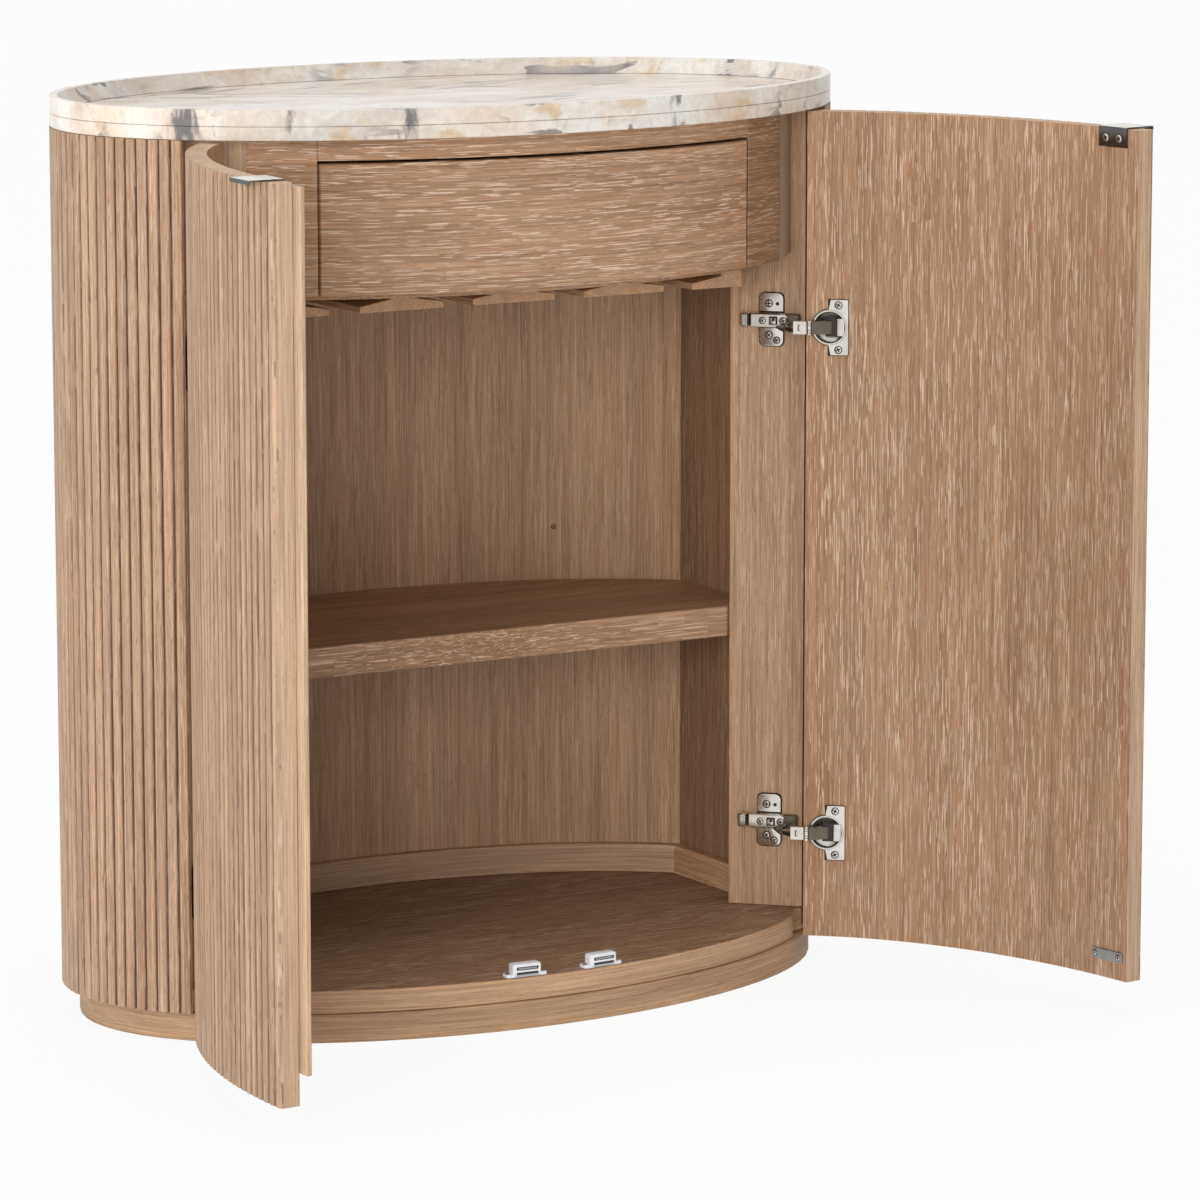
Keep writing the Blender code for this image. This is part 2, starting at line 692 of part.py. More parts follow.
def doors():
    edge = 0.5 * MEETING_GAP
    outer = reeded(0, DOOR_REEDS)[3:-1]
    turn = []
    for share in (0.0, 0.3, 0.7, 1.0):
        inset = 0.3 * REED_DEPTH + (1 - share) ** 2 * MEETING_ROUND
        turn.append(oval(front_angle(edge + share ** 2 * MEETING_ROUND, inset), inset))
    inner = arc(DOOR_INNER_ANGLE, front_angle(edge, WALL), WALL, 32)
    plan = [*turn, *outer, DOOR_OUTER, *inner]
    for side, word, rest in ((1, "right", RIGHT_OPEN), (-1, "left", -LEFT_OPEN)):
        axis = pivot(f"{word}_door_axis", side * AXIS.x, AXIS.y, rest)
        at = (side * AXIS.x, AXIS.y, 0)
        door = prism(f"{word}_door", mirrored(plan, side), DOOR_FOOT, DOOR_TOP, OAK, at, axis)
        for level, z in HINGE_HEIGHTS.items():
            cup(door, side, f"{word}_{level}", z, at, axis)
        pull(side, word, at, axis)
        strike(side, word, at, axis)
        if side < 0:
            astragal(at, axis)
    for side, word, rest in ((1, "right", RIGHT_OPEN), (-1, "left", LEFT_OPEN)):
        for level, z in HINGE_HEIGHTS.items():
            hinge(side, f"{word}_{level}", z, rest)


def astragal(at, axis):
    face = -HALF_DEPTH + WALL + 2 * SEAT
    strip = (
        (-ASTRAGAL_ON, face),
        (ASTRAGAL_OVER, face),
        (ASTRAGAL_OVER, face + ASTRAGAL_THICK),
        (-ASTRAGAL_ON, face + ASTRAGAL_THICK),
    )
    prism("astragal", strip, DOOR_FOOT + ASTRAGAL_RISE, DOOR_TOP - ASTRAGAL_TOP_GAP, OAK, at, axis)


def pull(side, word, at, axis):
    middle = angle_at(PULL_FROM_EDGE + 0.5 * PULL_WIDTH)
    spot, along, up, inward = inside_frame(side, middle, DOOR_TOP)
    near = PULL_LIFT
    far = near + PULL_SHEET
    tip = -WALL - PULL_REACH
    low = SEAT
    high = low + PULL_SHEET
    bend = (
        (far, -PULL_FLANGE),
        (far, high),
        (tip, high),
        (tip, low - PULL_LIP),
        (tip + PULL_SHEET, low - PULL_LIP),
        (tip + PULL_SHEET, low),
        (near, low),
        (near, -PULL_FLANGE),
    )
    half = 0.5 * PULL_WIDTH
    sweep(f"{word}_pull", bend, (spot, inward, up, along), -half, half, POLISHED, at, axis)


def strike(side, word, at, axis):
    frame = inside_frame(side, front_angle(STRIKE_X, WALL), FLOOR_TOP + 0.5 * STRIKE_HEIGHT + SEAT)
    plate = rounded(STRIKE_WIDTH, STRIKE_HEIGHT, 0.3 * STRIKE_HEIGHT)
    near = STRIKE_LIFT
    sweep(f"{word}_strike", plate, frame, near, near + STRIKE_THICK, STEEL, at, axis)


def catches():
    for side, word in ((1, "right"), (-1, "left")):
        angle = front_angle(CATCH_X, WALL)
        spot, along, up, inward = inside_frame(side, angle, FLOOR_TOP + SEAT)
        start = STRIKE_LIFT + STRIKE_THICK + CATCH_CLEAR
        half = 0.5 * CATCH_WIDTH
        ears = 0.5 * CATCH_EARS
        outline = (
            (-ears, 0),
            (ears, 0),
            (ears, CATCH_EAR_THICK),
            (half, CATCH_EAR_THICK),
            (half, CATCH_HEIGHT - CATCH_CHAMFER),
            (half - CATCH_CHAMFER, CATCH_HEIGHT),
            (CATCH_CHAMFER - half, CATCH_HEIGHT),
            (-half, CATCH_HEIGHT - CATCH_CHAMFER),
            (-half, CATCH_EAR_THICK),
            (-ears, CATCH_EAR_THICK),
        )
        sweep(f"{word}_catch", outline, (spot, along, up, inward), start, start + CATCH_DEPTH, WHITE)


def cup(door, side, name, z, at, axis):
    frame = inside_frame(side, CUP_ANGLE, z)
    top = CUP_LIFT + CUP_SHEET
    turns, rim = cup_outline()
    half = -0.5 * CUP_DEPTH
    deep = -CUP_DEPTH
    pocket = (
        (ring_at(turns, CUP_FOOT_RADIUS + CUP_CLEAR), deep - CUP_CLEAR),
        (ring_at(turns, CUP_RADIUS + CUP_CLEAR), half - CUP_CLEAR),
        (ring_at(turns, CUP_RADIUS + CUP_CLEAR), 0.5 * WALL),
    )
    bore = build(f"{name}_bore", stacked(pocket, frame), OAK, at, axis)
    combine(door, bore, "DIFFERENCE")
    levels = (
        (ring_at(turns, CUP_FOOT_RADIUS - CUP_WALL), deep + CUP_WALL),
        (ring_at(turns, CUP_RADIUS - CUP_WALL), half),
        (ring_at(turns, CUP_RADIUS - CUP_WALL), top),
        (rim, top),
        (rim, CUP_LIFT),
        (ring_at(turns, CUP_RADIUS), CUP_LIFT),
        (ring_at(turns, CUP_RADIUS), half),
        (ring_at(turns, CUP_FOOT_RADIUS), deep),
    )
    build(f"{name}_cup", stacked(levels, frame), NICKEL, at, axis)


def ring_at(turns, radius):
    return [(radius * math.cos(t), radius * math.sin(t)) for t in turns]


def stacked(levels, frame):
    """Loops in a frame's first two directions, each at its own place along the third."""
    centre, first, second, third = frame
    return [[centre + p[0] * first + p[1] * second + d * third for p in loop] for loop, d in levels]


def cup_outline(steps=28):
    """The cup's round rim and the upright flange off its far half, as turns and as one outline."""
    high = 0.5 * CUP_FLANGE_LENGTH
    corners = [math.atan2(s * high, x) for s in (-1, 1) for x in (CUP_FLANGE_NEAR, -CUP_FLANGE_FAR)]
    meets = [s * math.acos(CUP_FLANGE_NEAR / CUP_RIM) for s in (-1, 1)]
    even = [2 * math.pi * (i + 0.5) / steps - math.pi for i in range(steps)]
    turns = sorted([*corners, *meets, *even])
    points = []
    for turn in turns:
        side = math.cos(turn)
        reach = CUP_FLANGE_NEAR / side if side > 0 else -CUP_FLANGE_FAR / min(side, -1e-9)
        flange = min(reach, high / max(abs(math.sin(turn)), 1e-9))
        radius = max(CUP_RIM, flange)
        points.append((radius * math.cos(turn), radius * math.sin(turn)))
    return turns, points


def hinge(side, name, z, rest):
    """The plate and arm on the panel, the release lever behind it and the link ahead of it."""
    spot = panel_xy(0, 0)
    frame = (
        Vector((side * spot.x, spot.y, z)),
        Vector((side * JOINT_ALONG.x, JOINT_ALONG.y, 0)),
        Vector((side * JOINT_NORMAL.x, JOINT_NORMAL.y, 0)),
        Vector((0, 0, 1)),
    )
    centre, rise, way, up = frame
    bed = PLATE_THICK + SEAT
    crown = bed + ARM_HEIGHT
    profile = [
        (0.75 * bed, ARM_BACK),
        (0.75 * bed, PLATE_WAY + 0.45 * PLATE_WIDTH),
        (NOSE_RISE - 1.3 * NOSE_RADIUS, NOSE_WAY + 0.55 * NOSE_RADIUS),
        (NOSE_RISE - 0.65 * NOSE_RADIUS, NOSE_WAY + 0.75 * NOSE_RADIUS),
        (NOSE_RISE, NOSE_WAY + NOSE_RADIUS),
        (NOSE_RISE + 0.7 * NOSE_RADIUS, NOSE_WAY + 0.7 * NOSE_RADIUS),
        (NOSE_RISE + NOSE_RADIUS, NOSE_WAY),
        (NOSE_RISE + 0.7 * NOSE_RADIUS, NOSE_WAY - 0.7 * NOSE_RADIUS),
        (crown, PLATE_WAY + 0.12 * PLATE_WIDTH),
        (crown, ARM_BACK),
    ]
    half = 0.5 * ARM_WIDTH
    arm = sweep(f"{name}_arm", profile, frame, -half, half, NICKEL)
    plate_centre = centre + PLATE_WAY * way
    plate = rounded(PLATE_WIDTH, PLATE_LENGTH, 0.3 * PLATE_WIDTH)
    base = sweep(f"{name}_plate", plate, (plate_centre, way, up, rise), SEAT, bed, NICKEL)
    combine(arm, base, "UNION")
    knuckle = circle(1.26 * NOSE_RADIUS, 20, (NOSE_RISE, NOSE_WAY))
    for word, start in (("top", NOSE_HALF), ("foot", -ARM_WIDTH)):
        cheek = sweep(f"{name}_{word}_cutter", knuckle, frame, start, start + ARM_WIDTH - NOSE_HALF, NICKEL)
        combine(arm, cheek, "DIFFERENCE")
    pin_hole_round = circle(LINK_BORE, 16, (NOSE_RISE, NOSE_WAY))
    bore = sweep(f"{name}_pin_bore", pin_hole_round, frame, -ARM_WIDTH, ARM_WIDTH, NICKEL)
    combine(arm, bore, "DIFFERENCE")
    lever(name, frame)
    link(side, name, z, rest)


def lever(name, frame):
    centre, rise, way, up = frame
    foot = PLATE_THICK
    crown = PLATE_THICK + SEAT + ARM_HEIGHT
    front = ARM_BACK - LEVER_GAP
    end = front - LEVER_LENGTH
    profile = (
        (foot, front),
        (foot + ARM_HEIGHT / 6, front),
        (crown, front - 0.4 * ARM_HEIGHT),
        (crown, end + 0.39 * ARM_HEIGHT),
        (crown - 0.44 * ARM_HEIGHT, end),
        (foot, end),
    )
    hub = centre + (foot + ARM_HEIGHT / 12) * rise + front * way
    half = 0.5 * ARM_WIDTH - LEVER_GAP
    sweep(f"{name}_lever", profile, frame, -half, half, NICKEL, hub)


def link(side, name, z, rest):
    """A goose-neck from the arm's nose over the open door's edge to the bottom of the cup."""
    nose = panel_xy(NOSE_RISE, NOSE_WAY)
    swing = Matrix.Rotation(math.radians(rest), 2)
    corner = turned(DOOR_INNER, rest, AXIS)
    inside = swing @ -normal(DOOR_INNER_ANGLE)
    along = swing @ -tangent(DOOR_INNER_ANGLE)
    mouth = turned(oval(CUP_ANGLE, WALL), rest, AXIS)
    into = swing @ normal(CUP_ANGLE)
    spine = [
        nose,
        corner + LINK_OVER * inside - 0.5 * CUP_FROM_EDGE * along,
        corner + 1.14 * LINK_OVER * inside + 0.3 * LINK_OVER * along,
        corner + LINK_OVER * inside + 0.5 * CUP_FROM_EDGE * along,
        mouth,
        mouth + (CUP_DEPTH - CUP_WALL - SEAT) * into,
    ]
    flat = ribbon(spine, 0.5 * LINK_THICK)
    hub = Vector((side * nose.x, nose.y, z))
    piece = prism(f"{name}_link", mirrored(flat, side), z - LINK_HALF, z + LINK_HALF, NICKEL, hub)
    place = circle(NOSE_RADIUS + LINK_SIDE_GAP, 20, (side * nose.x, nose.y))
    tall = NOSE_HALF + LINK_SIDE_GAP
    slot = prism(f"{name}_link_slot", place, z - tall, z + tall, NICKEL, hub)
    combine(piece, slot, "DIFFERENCE")
    pin_round = circle(LINK_PIN, 16, (side * nose.x, nose.y))
    pin = prism(f"{name}_link_pin", pin_round, z - 0.85 * LINK_HALF, z + 0.85 * LINK_HALF, NICKEL, hub)
    combine(piece, pin, "UNION")


def ribbon(spine, half):
    """A strip of even width along a bent line, round at its start."""
    left = []
    right = []
    for i, point in enumerate(spine):
        before = spine[max(i - 1, 0)]
        after = spine[min(i + 1, len(spine) - 1)]
        way = (after - before).normalized()
        out = Vector((-way.y, way.x))
        left.append(point + half * out)
        right.append(point - half * out)
    first = (spine[1] - spine[0]).normalized()
    cap = [spine[0] - half * 1.5 * first + 0.5 * half * s * Vector((-first.y, first.x)) for s in (-1, 1)]
    return [*cap, *left, *reversed(right)]


stone_top()
carcase()
lining()
boards()
face_frame()
drawer()
glass_rails()
catches()
doors()
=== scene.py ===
"""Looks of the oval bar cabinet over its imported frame: stage, oak, stone, metal and fittings."""

import json
import math
import random

import bmesh
import bpy
from mathutils import Matrix, Vector

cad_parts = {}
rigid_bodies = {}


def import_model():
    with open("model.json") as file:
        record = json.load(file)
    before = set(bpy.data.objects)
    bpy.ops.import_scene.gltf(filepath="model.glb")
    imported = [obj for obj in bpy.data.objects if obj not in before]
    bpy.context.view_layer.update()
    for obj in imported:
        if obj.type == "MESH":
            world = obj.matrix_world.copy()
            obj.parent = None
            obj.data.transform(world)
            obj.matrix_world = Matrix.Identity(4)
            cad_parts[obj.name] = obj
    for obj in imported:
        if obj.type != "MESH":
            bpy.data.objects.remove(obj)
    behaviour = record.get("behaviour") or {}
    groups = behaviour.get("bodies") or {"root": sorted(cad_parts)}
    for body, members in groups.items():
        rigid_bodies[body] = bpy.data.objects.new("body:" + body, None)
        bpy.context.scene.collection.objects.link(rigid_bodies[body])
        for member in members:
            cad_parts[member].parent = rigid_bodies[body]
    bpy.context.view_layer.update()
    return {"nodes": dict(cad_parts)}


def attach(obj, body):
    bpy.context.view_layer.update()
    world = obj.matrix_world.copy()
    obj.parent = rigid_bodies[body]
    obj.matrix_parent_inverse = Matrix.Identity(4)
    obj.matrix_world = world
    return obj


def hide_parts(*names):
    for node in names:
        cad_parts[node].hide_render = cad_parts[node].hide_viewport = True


for stray in list(bpy.data.objects):
    bpy.data.objects.remove(stray, do_unlink=True)
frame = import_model()
NODES = frame["nodes"]
SCENE = bpy.context.scene
SCENE.view_settings.view_transform = "Standard"
MM = 0.001

# Sizes shared with the solids
HALF_WIDTH = 419 * MM
HALF_DEPTH = 255 * MM
REEDS = 176
DOOR_REEDS = 32
REED_DEPTH = 2.0 * MM
WALL = 20 * MM
WALL_FOOT = 30.9 * MM
WALL_TOP = 877.2 * MM
DOOR_FOOT = 33.5 * MM
DOOR_TOP = 875.0 * MM
FLOOR_TOP = 50.8 * MM
STILE_FOOT = 726.4 * MM
STILE_OUTER = 300 * MM
JOINT_LEAN = math.radians(34.0)
DOOR_EDGE_GAP = 2 * MM
MEETING_EDGE = 1 * MM
MEETING_ROUND = 4 * MM
AXIS_OUT = 7.95 * MM
AXIS_ALONG = 9.6 * MM
OPEN = {"right": 96.0, "left": 88.0}
SIDES = {"right": 1, "left": -1}
HINGES = {"lower": 141.5 * MM, "upper": 658.5 * MM}
PANEL_SETBACK = 13.5 * MM
PLATE_WAY = -56.5 * MM
PLATE_WIDTH = 26 * MM
PLATE_LENGTH = 55.5 * MM
PLATE_BED = 4.5 * MM
ARM_CROWN = 13.5 * MM
NOSE_RISE = 42 * MM
NOSE_WAY = -32.4 * MM
CUP_FROM_EDGE = 22.5 * MM
CUP_BORE = 17.8 * MM
CUP_RIM = 18.6 * MM
CUP_MOUTH = 15.6 * MM
CUP_NEAR = 1.5 * MM
CUP_FAR = 19.5 * MM
CUP_TALL = 57 * MM
CUP_FACE = 2.2 * MM
LINK_OVER = 6.5 * MM
PULL_FROM_EDGE = 17.5 * MM
PULL_WIDTH = 38.5 * MM
CATCH_X = 43.6 * MM
CATCH_FRONT = 3.15 * MM
STRIKE_X = 28 * MM

# Finer than the solids
GROOVE_DEPTH = 2.8 * MM
DOOR_EDGE_REACH = 1.0 * MM
JOINT_COVER_WIDTH = 17 * MM
JOINT_COVER_MIDDLE = 10.5 * MM
CATCH_DEEP = 12.5 * MM
BORE_DEPTH = 12.6 * MM
BORE_CLEAR = 10 * MM
PALE_FOOT_PAINTED_HIGHLIGHT = 1.6 * MM
CATCH_EARS = 45 * MM
CATCH_EAR_THICK = 3 * MM
CATCH_BODY = 31 * MM
CATCH_TALL = 13 * MM
CATCH_SCREW = 18.8 * MM
PULL_SCREW_DROP = 9.5 * MM
STRIKE_RISE = 5.8 * MM
STRIKE_FACE = 2.35 * MM

# Limits for joining facets and for shading across edges
BLUNT = math.radians(40)
SHARP = math.radians(38)
FLAT = math.radians(0.6)
WELD = 0.004 * MM


# Oval
def normal(angle):
    return Vector((math.cos(angle) / HALF_WIDTH, math.sin(angle) / HALF_DEPTH)).normalized()


def tangent(angle):
    way = normal(angle)
    return Vector((-way.y, way.x))


def oval(angle, inset):
    edge = Vector((HALF_WIDTH * math.cos(angle), HALF_DEPTH * math.sin(angle)))
    return edge - inset * normal(angle)


def arc(start, end, inset, steps):
    return [oval(start + (end - start) * i / steps, inset) for i in range(steps + 1)]


def solve(function, low, high):
    rising = function(high) > function(low)
    for _ in range(60):
        middle = 0.5 * (low + high)
        if (function(middle) < 0) == rising:
            low = middle
        else:
            high = middle
    return 0.5 * (low + high)


def front_angle(x, inset):
    return solve(lambda a: oval(a, inset).x - x, -math.pi, 0)


def arc_table(steps=7200):
    lengths = [0.0]
    last = oval(-0.5 * math.pi, 0)
    for i in range(1, steps + 1):
        point = oval(2 * math.pi * i / steps - 0.5 * math.pi, 0)
        lengths.append(lengths[-1] + (point - last).length)
        last = point
    return lengths


ARC_LENGTHS = arc_table()
REED_PITCH = ARC_LENGTHS[-1] / REEDS


def angle_at(length):
    """The oval's angle at this arc length from the front centre, towards +X."""
    low = 0
    high = len(ARC_LENGTHS) - 1
    while high - low > 1:
        middle = (low + high) // 2
        if ARC_LENGTHS[middle] <= length:
            low = middle
        else:
            high = middle
    share = (length - ARC_LENGTHS[low]) / (ARC_LENGTHS[high] - ARC_LENGTHS[low])
    return 2 * math.pi * (low + share) / (len(ARC_LENGTHS) - 1) - 0.5 * math.pi


JOINT_ANGLE = angle_at(DOOR_REEDS * REED_PITCH)
JOINT = oval(JOINT_ANGLE, 0)
JOINT_NORMAL = normal(JOINT_ANGLE)
JOINT_ALONG = -tangent(JOINT_ANGLE)
JOINT_INWARD = -math.sin(JOINT_LEAN) * JOINT_ALONG - math.cos(JOINT_LEAN) * JOINT_NORMAL
JOINT_FACING = math.cos(JOINT_LEAN) * JOINT_ALONG - math.sin(JOINT_LEAN) * JOINT_NORMAL
AXIS = JOINT + AXIS_OUT * JOINT_NORMAL + AXIS_ALONG * JOINT_ALONG


def on_joint(start, inset):
    """Where the leaning joint line from this point reaches the inset curve, as an angle."""
    def off_line(a):
        d = oval(a, inset) - start
        return d.x * JOINT_INWARD.y - d.y * JOINT_INWARD.x

    return solve(off_line, JOINT_ANGLE - 0.1, JOINT_ANGLE + 0.3)


DOOR_OUTER = JOINT + DOOR_EDGE_GAP * JOINT_ALONG - REED_DEPTH * JOINT_NORMAL
DOOR_INNER_ANGLE = on_joint(DOOR_OUTER, WALL)
DOOR_INNER = oval(DOOR_INNER_ANGLE, WALL)
CUP_ANGLE = solve(
    lambda a: (oval(a, WALL) - DOOR_INNER).length - CUP_FROM_EDGE,
    DOOR_INNER_ANGLE,
    DOOR_INNER_ANGLE - 4 * CUP_FROM_EDGE / HALF_WIDTH,
)
UP = Vector((0, 0, 1))


def swung_way(way, word):
    """A direction of the closed right door, on the open door of this side."""
    side = SIDES[word]
    return Matrix.Rotation(math.radians(side * OPEN[word]), 2) @ Vector((side * way.x, way.y))


def swung(point, word):
    """A point of the closed right door, on the open door of this side."""
    return Vector((SIDES[word] * AXIS.x, AXIS.y)) + swung_way(point - AXIS, word)


def spot(point, z):
    return Vector((point.x, point.y, z))


def on_side(word, plan, z=0.0):
    """A place or direction in the right side's plan, on this side and at this height."""
    return Vector((SIDES[word] * plan.x, plan.y, z))


def door_frame(word, angle, z):
    """On the open door's inner face: the place, along to the hinge, up, and out of the face."""
    along = spot(swung_way(tangent(angle), word), 0)
    out = spot(swung_way(-normal(angle), word), 0)
    return spot(swung(oval(angle, WALL), word), z), along, UP, out


def panel_frame(word, z):
    """On the hinge panel at the joint line: the place, out to the joint, up, and off the panel."""
    place = JOINT - PANEL_SETBACK * JOINT_ALONG
    return on_side(word, place, z), on_side(word, JOINT_NORMAL), UP, on_side(word, JOINT_ALONG)


def moved(where, first=0.0, second=0.0, third=0.0):
    place, a, b, c = where
    return place + first * a + second * b + third * c, a, b, c


# Stage
LENS = 183.006
EYE = (-2.9387, -5.2769, 1.4291)
LOOK_DOWN = math.radians(9.796)
LOOK_RIGHT = math.radians(30.541)


def camera():
    data = bpy.data.cameras.new("camera")
    data.lens = LENS
    data.sensor_width = 36
    data.clip_end = 60
    eye = bpy.data.objects.new("camera", data)
    eye.location = EYE
    eye.rotation_euler = (0.5 * math.pi - LOOK_DOWN, 0, -LOOK_RIGHT)
    SCENE.collection.objects.link(eye)
    SCENE.camera = eye


def lamp(name, kind, place, target, power, **settings):
    data = bpy.data.lights.new(name, kind)
    data.energy = power
    for key, value in settings.items():
        setattr(data, key, value)
    made = bpy.data.objects.new(name, data)
    made.location = place
    made.visible_glossy = False
    made.rotation_euler = (Vector(target) - Vector(place)).to_track_quat("-Z", "Y").to_euler()
    SCENE.collection.objects.link(made)


def add(tree, kind, inputs=None, **settings):
    """A node with its settings, and its inputs linked or set."""
    made = tree.nodes.new(kind)
    for key, value in settings.items():
        setattr(made, key, value)
    for key, value in (inputs or {}).items():
        if isinstance(value, bpy.types.NodeSocket):
            tree.links.new(value, made.inputs[key])
        else:
            made.inputs[key].default_value = value
    return made


def maths(tree, first, second, operation):
    """The output of a node for one sum."""
    return add(tree, "ShaderNodeMath", {0: first, 1: second}, operation=operation).outputs[0]


def seen_plainly(tree):
    """1 for camera, glossy and transmission rays."""
    path = add(tree, "ShaderNodeLightPath").outputs
    either = maths(tree, path["Is Camera Ray"], path["Is Glossy Ray"], "MAXIMUM")
    return maths(tree, either, path["Is Transmission Ray"], "MAXIMUM")


WORLD_LIGHT = 0.24
FLOOR_GLOW = 0.92
FLOOR_HALF = 40.0
FLOOR_DROP = 0.2 * MM


def stage():
    world = bpy.data.worlds.new("studio")
    SCENE.world = world
    world.use_nodes = True
    tree = world.node_tree
    tree.nodes.clear()
    levels = {"Value": seen_plainly(tree), "To Min": WORLD_LIGHT, "To Max": 1.0}
    strength = add(tree, "ShaderNodeMapRange", levels).outputs[0]
    sky = add(tree, "ShaderNodeBackground", {"Color": (1, 1, 1, 1), "Strength": strength})
    add(tree, "ShaderNodeOutputWorld", {"Surface": sky.outputs[0]})

    mesh = bpy.data.meshes.new("studio_floor")
    half = FLOOR_HALF
    corners = [(-half, -half, 0), (half, -half, 0), (half, half, 0), (-half, half, 0)]
    mesh.from_pydata(corners, [], [(0, 1, 2, 3)])
    floor = bpy.data.objects.new("studio_floor", mesh)
    floor.location.z = -FLOOR_DROP
    SCENE.collection.objects.link(floor)
    look = bpy.data.materials.new("studio_floor")
    look.use_nodes = True
    tree = look.node_tree
    tree.nodes.clear()
    paint = add(tree, "ShaderNodeBsdfDiffuse", {"Color": (0.86, 0.86, 0.86, 1)})
    glow = add(tree, "ShaderNodeEmission", {"Color": (1, 1, 1, 1), "Strength": 1.0})
    share = maths(tree, seen_plainly(tree), FLOOR_GLOW, "MULTIPLY")
    both = add(tree, "ShaderNodeMixShader", {0: share, 1: paint.outputs[0], 2: glow.outputs[0]})
    add(tree, "ShaderNodeOutputMaterial", {"Surface": both.outputs[0]})
    mesh.materials.append(look)

    lamp("left_softbox", "AREA", (-6.4, 1.0, 1.8), (0, -0.1, 0.5), 150, size=4.0)
    lamp("front_softbox", "AREA", (-5.6, -6.6, 1.8), (0.1, -0.1, 0.45), 540, size=4.4)
    lamp("overhead", "SUN", (0, 0, 4), (0, 0, 0), 1.95, angle=math.radians(50))


# Shaders
def tree_of(name):
    made = bpy.data.materials.new(name)
    made.use_nodes = True
    return made, made.node_tree, made.node_tree.nodes["Principled BSDF"]


def blend(tree, factor, first, second, kind="MIX"):
    inputs = {0: factor, 6: first, 7: second}
    return add(tree, "ShaderNodeMix", inputs, data_type="RGBA", blend_type=kind).outputs[2]


def ramp(tree, value, *stops):
    """A colour ramp of (place, colour) stops; a single number is a grey."""
    made = add(tree, "ShaderNodeValToRGB", {0: value})
    points = made.color_ramp.elements
    while len(points) < len(stops):
        points.new(0.5)
    for point, (place, colour) in zip(points, stops):
        point.position = place
        point.color = (*colour, 1) if isinstance(colour, tuple) else (colour, colour, colour, 1)
    return made.outputs[0]


def noise(
    tree, vector, scale, detail=2.0, rough=0.5, distortion=0.0, stretch=(1, 1, 1), shift=(0, 0, 0)
):
    mapped = add(tree, "ShaderNodeMapping", {"Vector": vector, "Location": shift, "Scale": stretch})
    inputs = {
        "Vector": mapped.outputs[0],
        "Scale": scale,
        "Detail": detail,
        "Roughness": rough,
        "Distortion": distortion,
    }
    return add(tree, "ShaderNodeTexNoise", inputs).outputs[0]


def surface(tree, shader, colour, rough, strength, distance, height):
    """Links a shader's colour, roughness and bump."""
    tree.links.new(colour, shader.inputs["Base Color"])
    tree.links.new(rough, shader.inputs["Roughness"])
    inputs = {"Strength": strength, "Distance": distance, "Height": height}
    bump = add(tree, "ShaderNodeBump", inputs)
    tree.links.new(bump.outputs[0], shader.inputs["Normal"])


MEAN_RADIUS = 0.36
OUT_SHARE = 0.01


def round_the_oval(tree):
    """Object coordinates bent round the cabinet: along the curve, out from the middle, up."""
    place = add(tree, "ShaderNodeTexCoord").outputs["Object"]
    axes = add(tree, "ShaderNodeSeparateXYZ", {0: place}).outputs
    x = maths(tree, axes[0], HALF_WIDTH, "DIVIDE")
    y = maths(tree, axes[1], HALF_DEPTH, "DIVIDE")
    turn = maths(tree, maths(tree, y, x, "ARCTAN2"), MEAN_RADIUS, "MULTIPLY")
    flat = add(tree, "ShaderNodeCombineXYZ", {0: x, 1: y}).outputs[0]
    away = add(tree, "ShaderNodeVectorMath", {0: flat}, operation="LENGTH").outputs["Value"]
    out = maths(tree, away, OUT_SHARE, "MULTIPLY")
    return add(tree, "ShaderNodeCombineXYZ", {0: turn, 1: out, 2: axes[2]}).outputs[0]


PALE = (0.74, 0.58, 0.44)
STRAND = 0.7 * MM
STRAND_START = 90
PORE_LENGTH = 34 * MM
FLECK_LENGTH = 14 * MM
FLECK_SEED = 31
SWAY = 1.5 * MM


def strands(tree, place, grain, length, seed):
    """Noise along thin strands, each with a start of its own, for marks of about one length."""
    across = tuple(0.0 if axis == grain else 1 / STRAND for axis in "xyz")
    lengthwise = tuple(1 / length if axis == grain else 0.0 for axis in "xyz")
    counted = {"Vector": place, "Location": (0.37 + seed, 0.37, 0.37), "Scale": across}
    cells = add(tree, "ShaderNodeMapping", counted).outputs[0]
    cell = add(tree, "ShaderNodeVectorMath", {0: cells}, operation="FLOOR").outputs[0]
    chance = add(tree, "ShaderNodeTexWhiteNoise", {"Vector": cell}).outputs["Color"]
    far = {0: chance, 1: (STRAND_START, STRAND_START, STRAND_START)}
    start = add(tree, "ShaderNodeVectorMath", far, operation="MULTIPLY").outputs[0]
    slid = {0: place, 1: lengthwise, 2: start}
    where = add(tree, "ShaderNodeVectorMath", slid, operation="MULTIPLY_ADD").outputs[0]
    inputs = {"Vector": where, "Scale": 1.0, "Detail": 1.0}
    return add(tree, "ShaderNodeTexNoise", inputs).outputs[0]


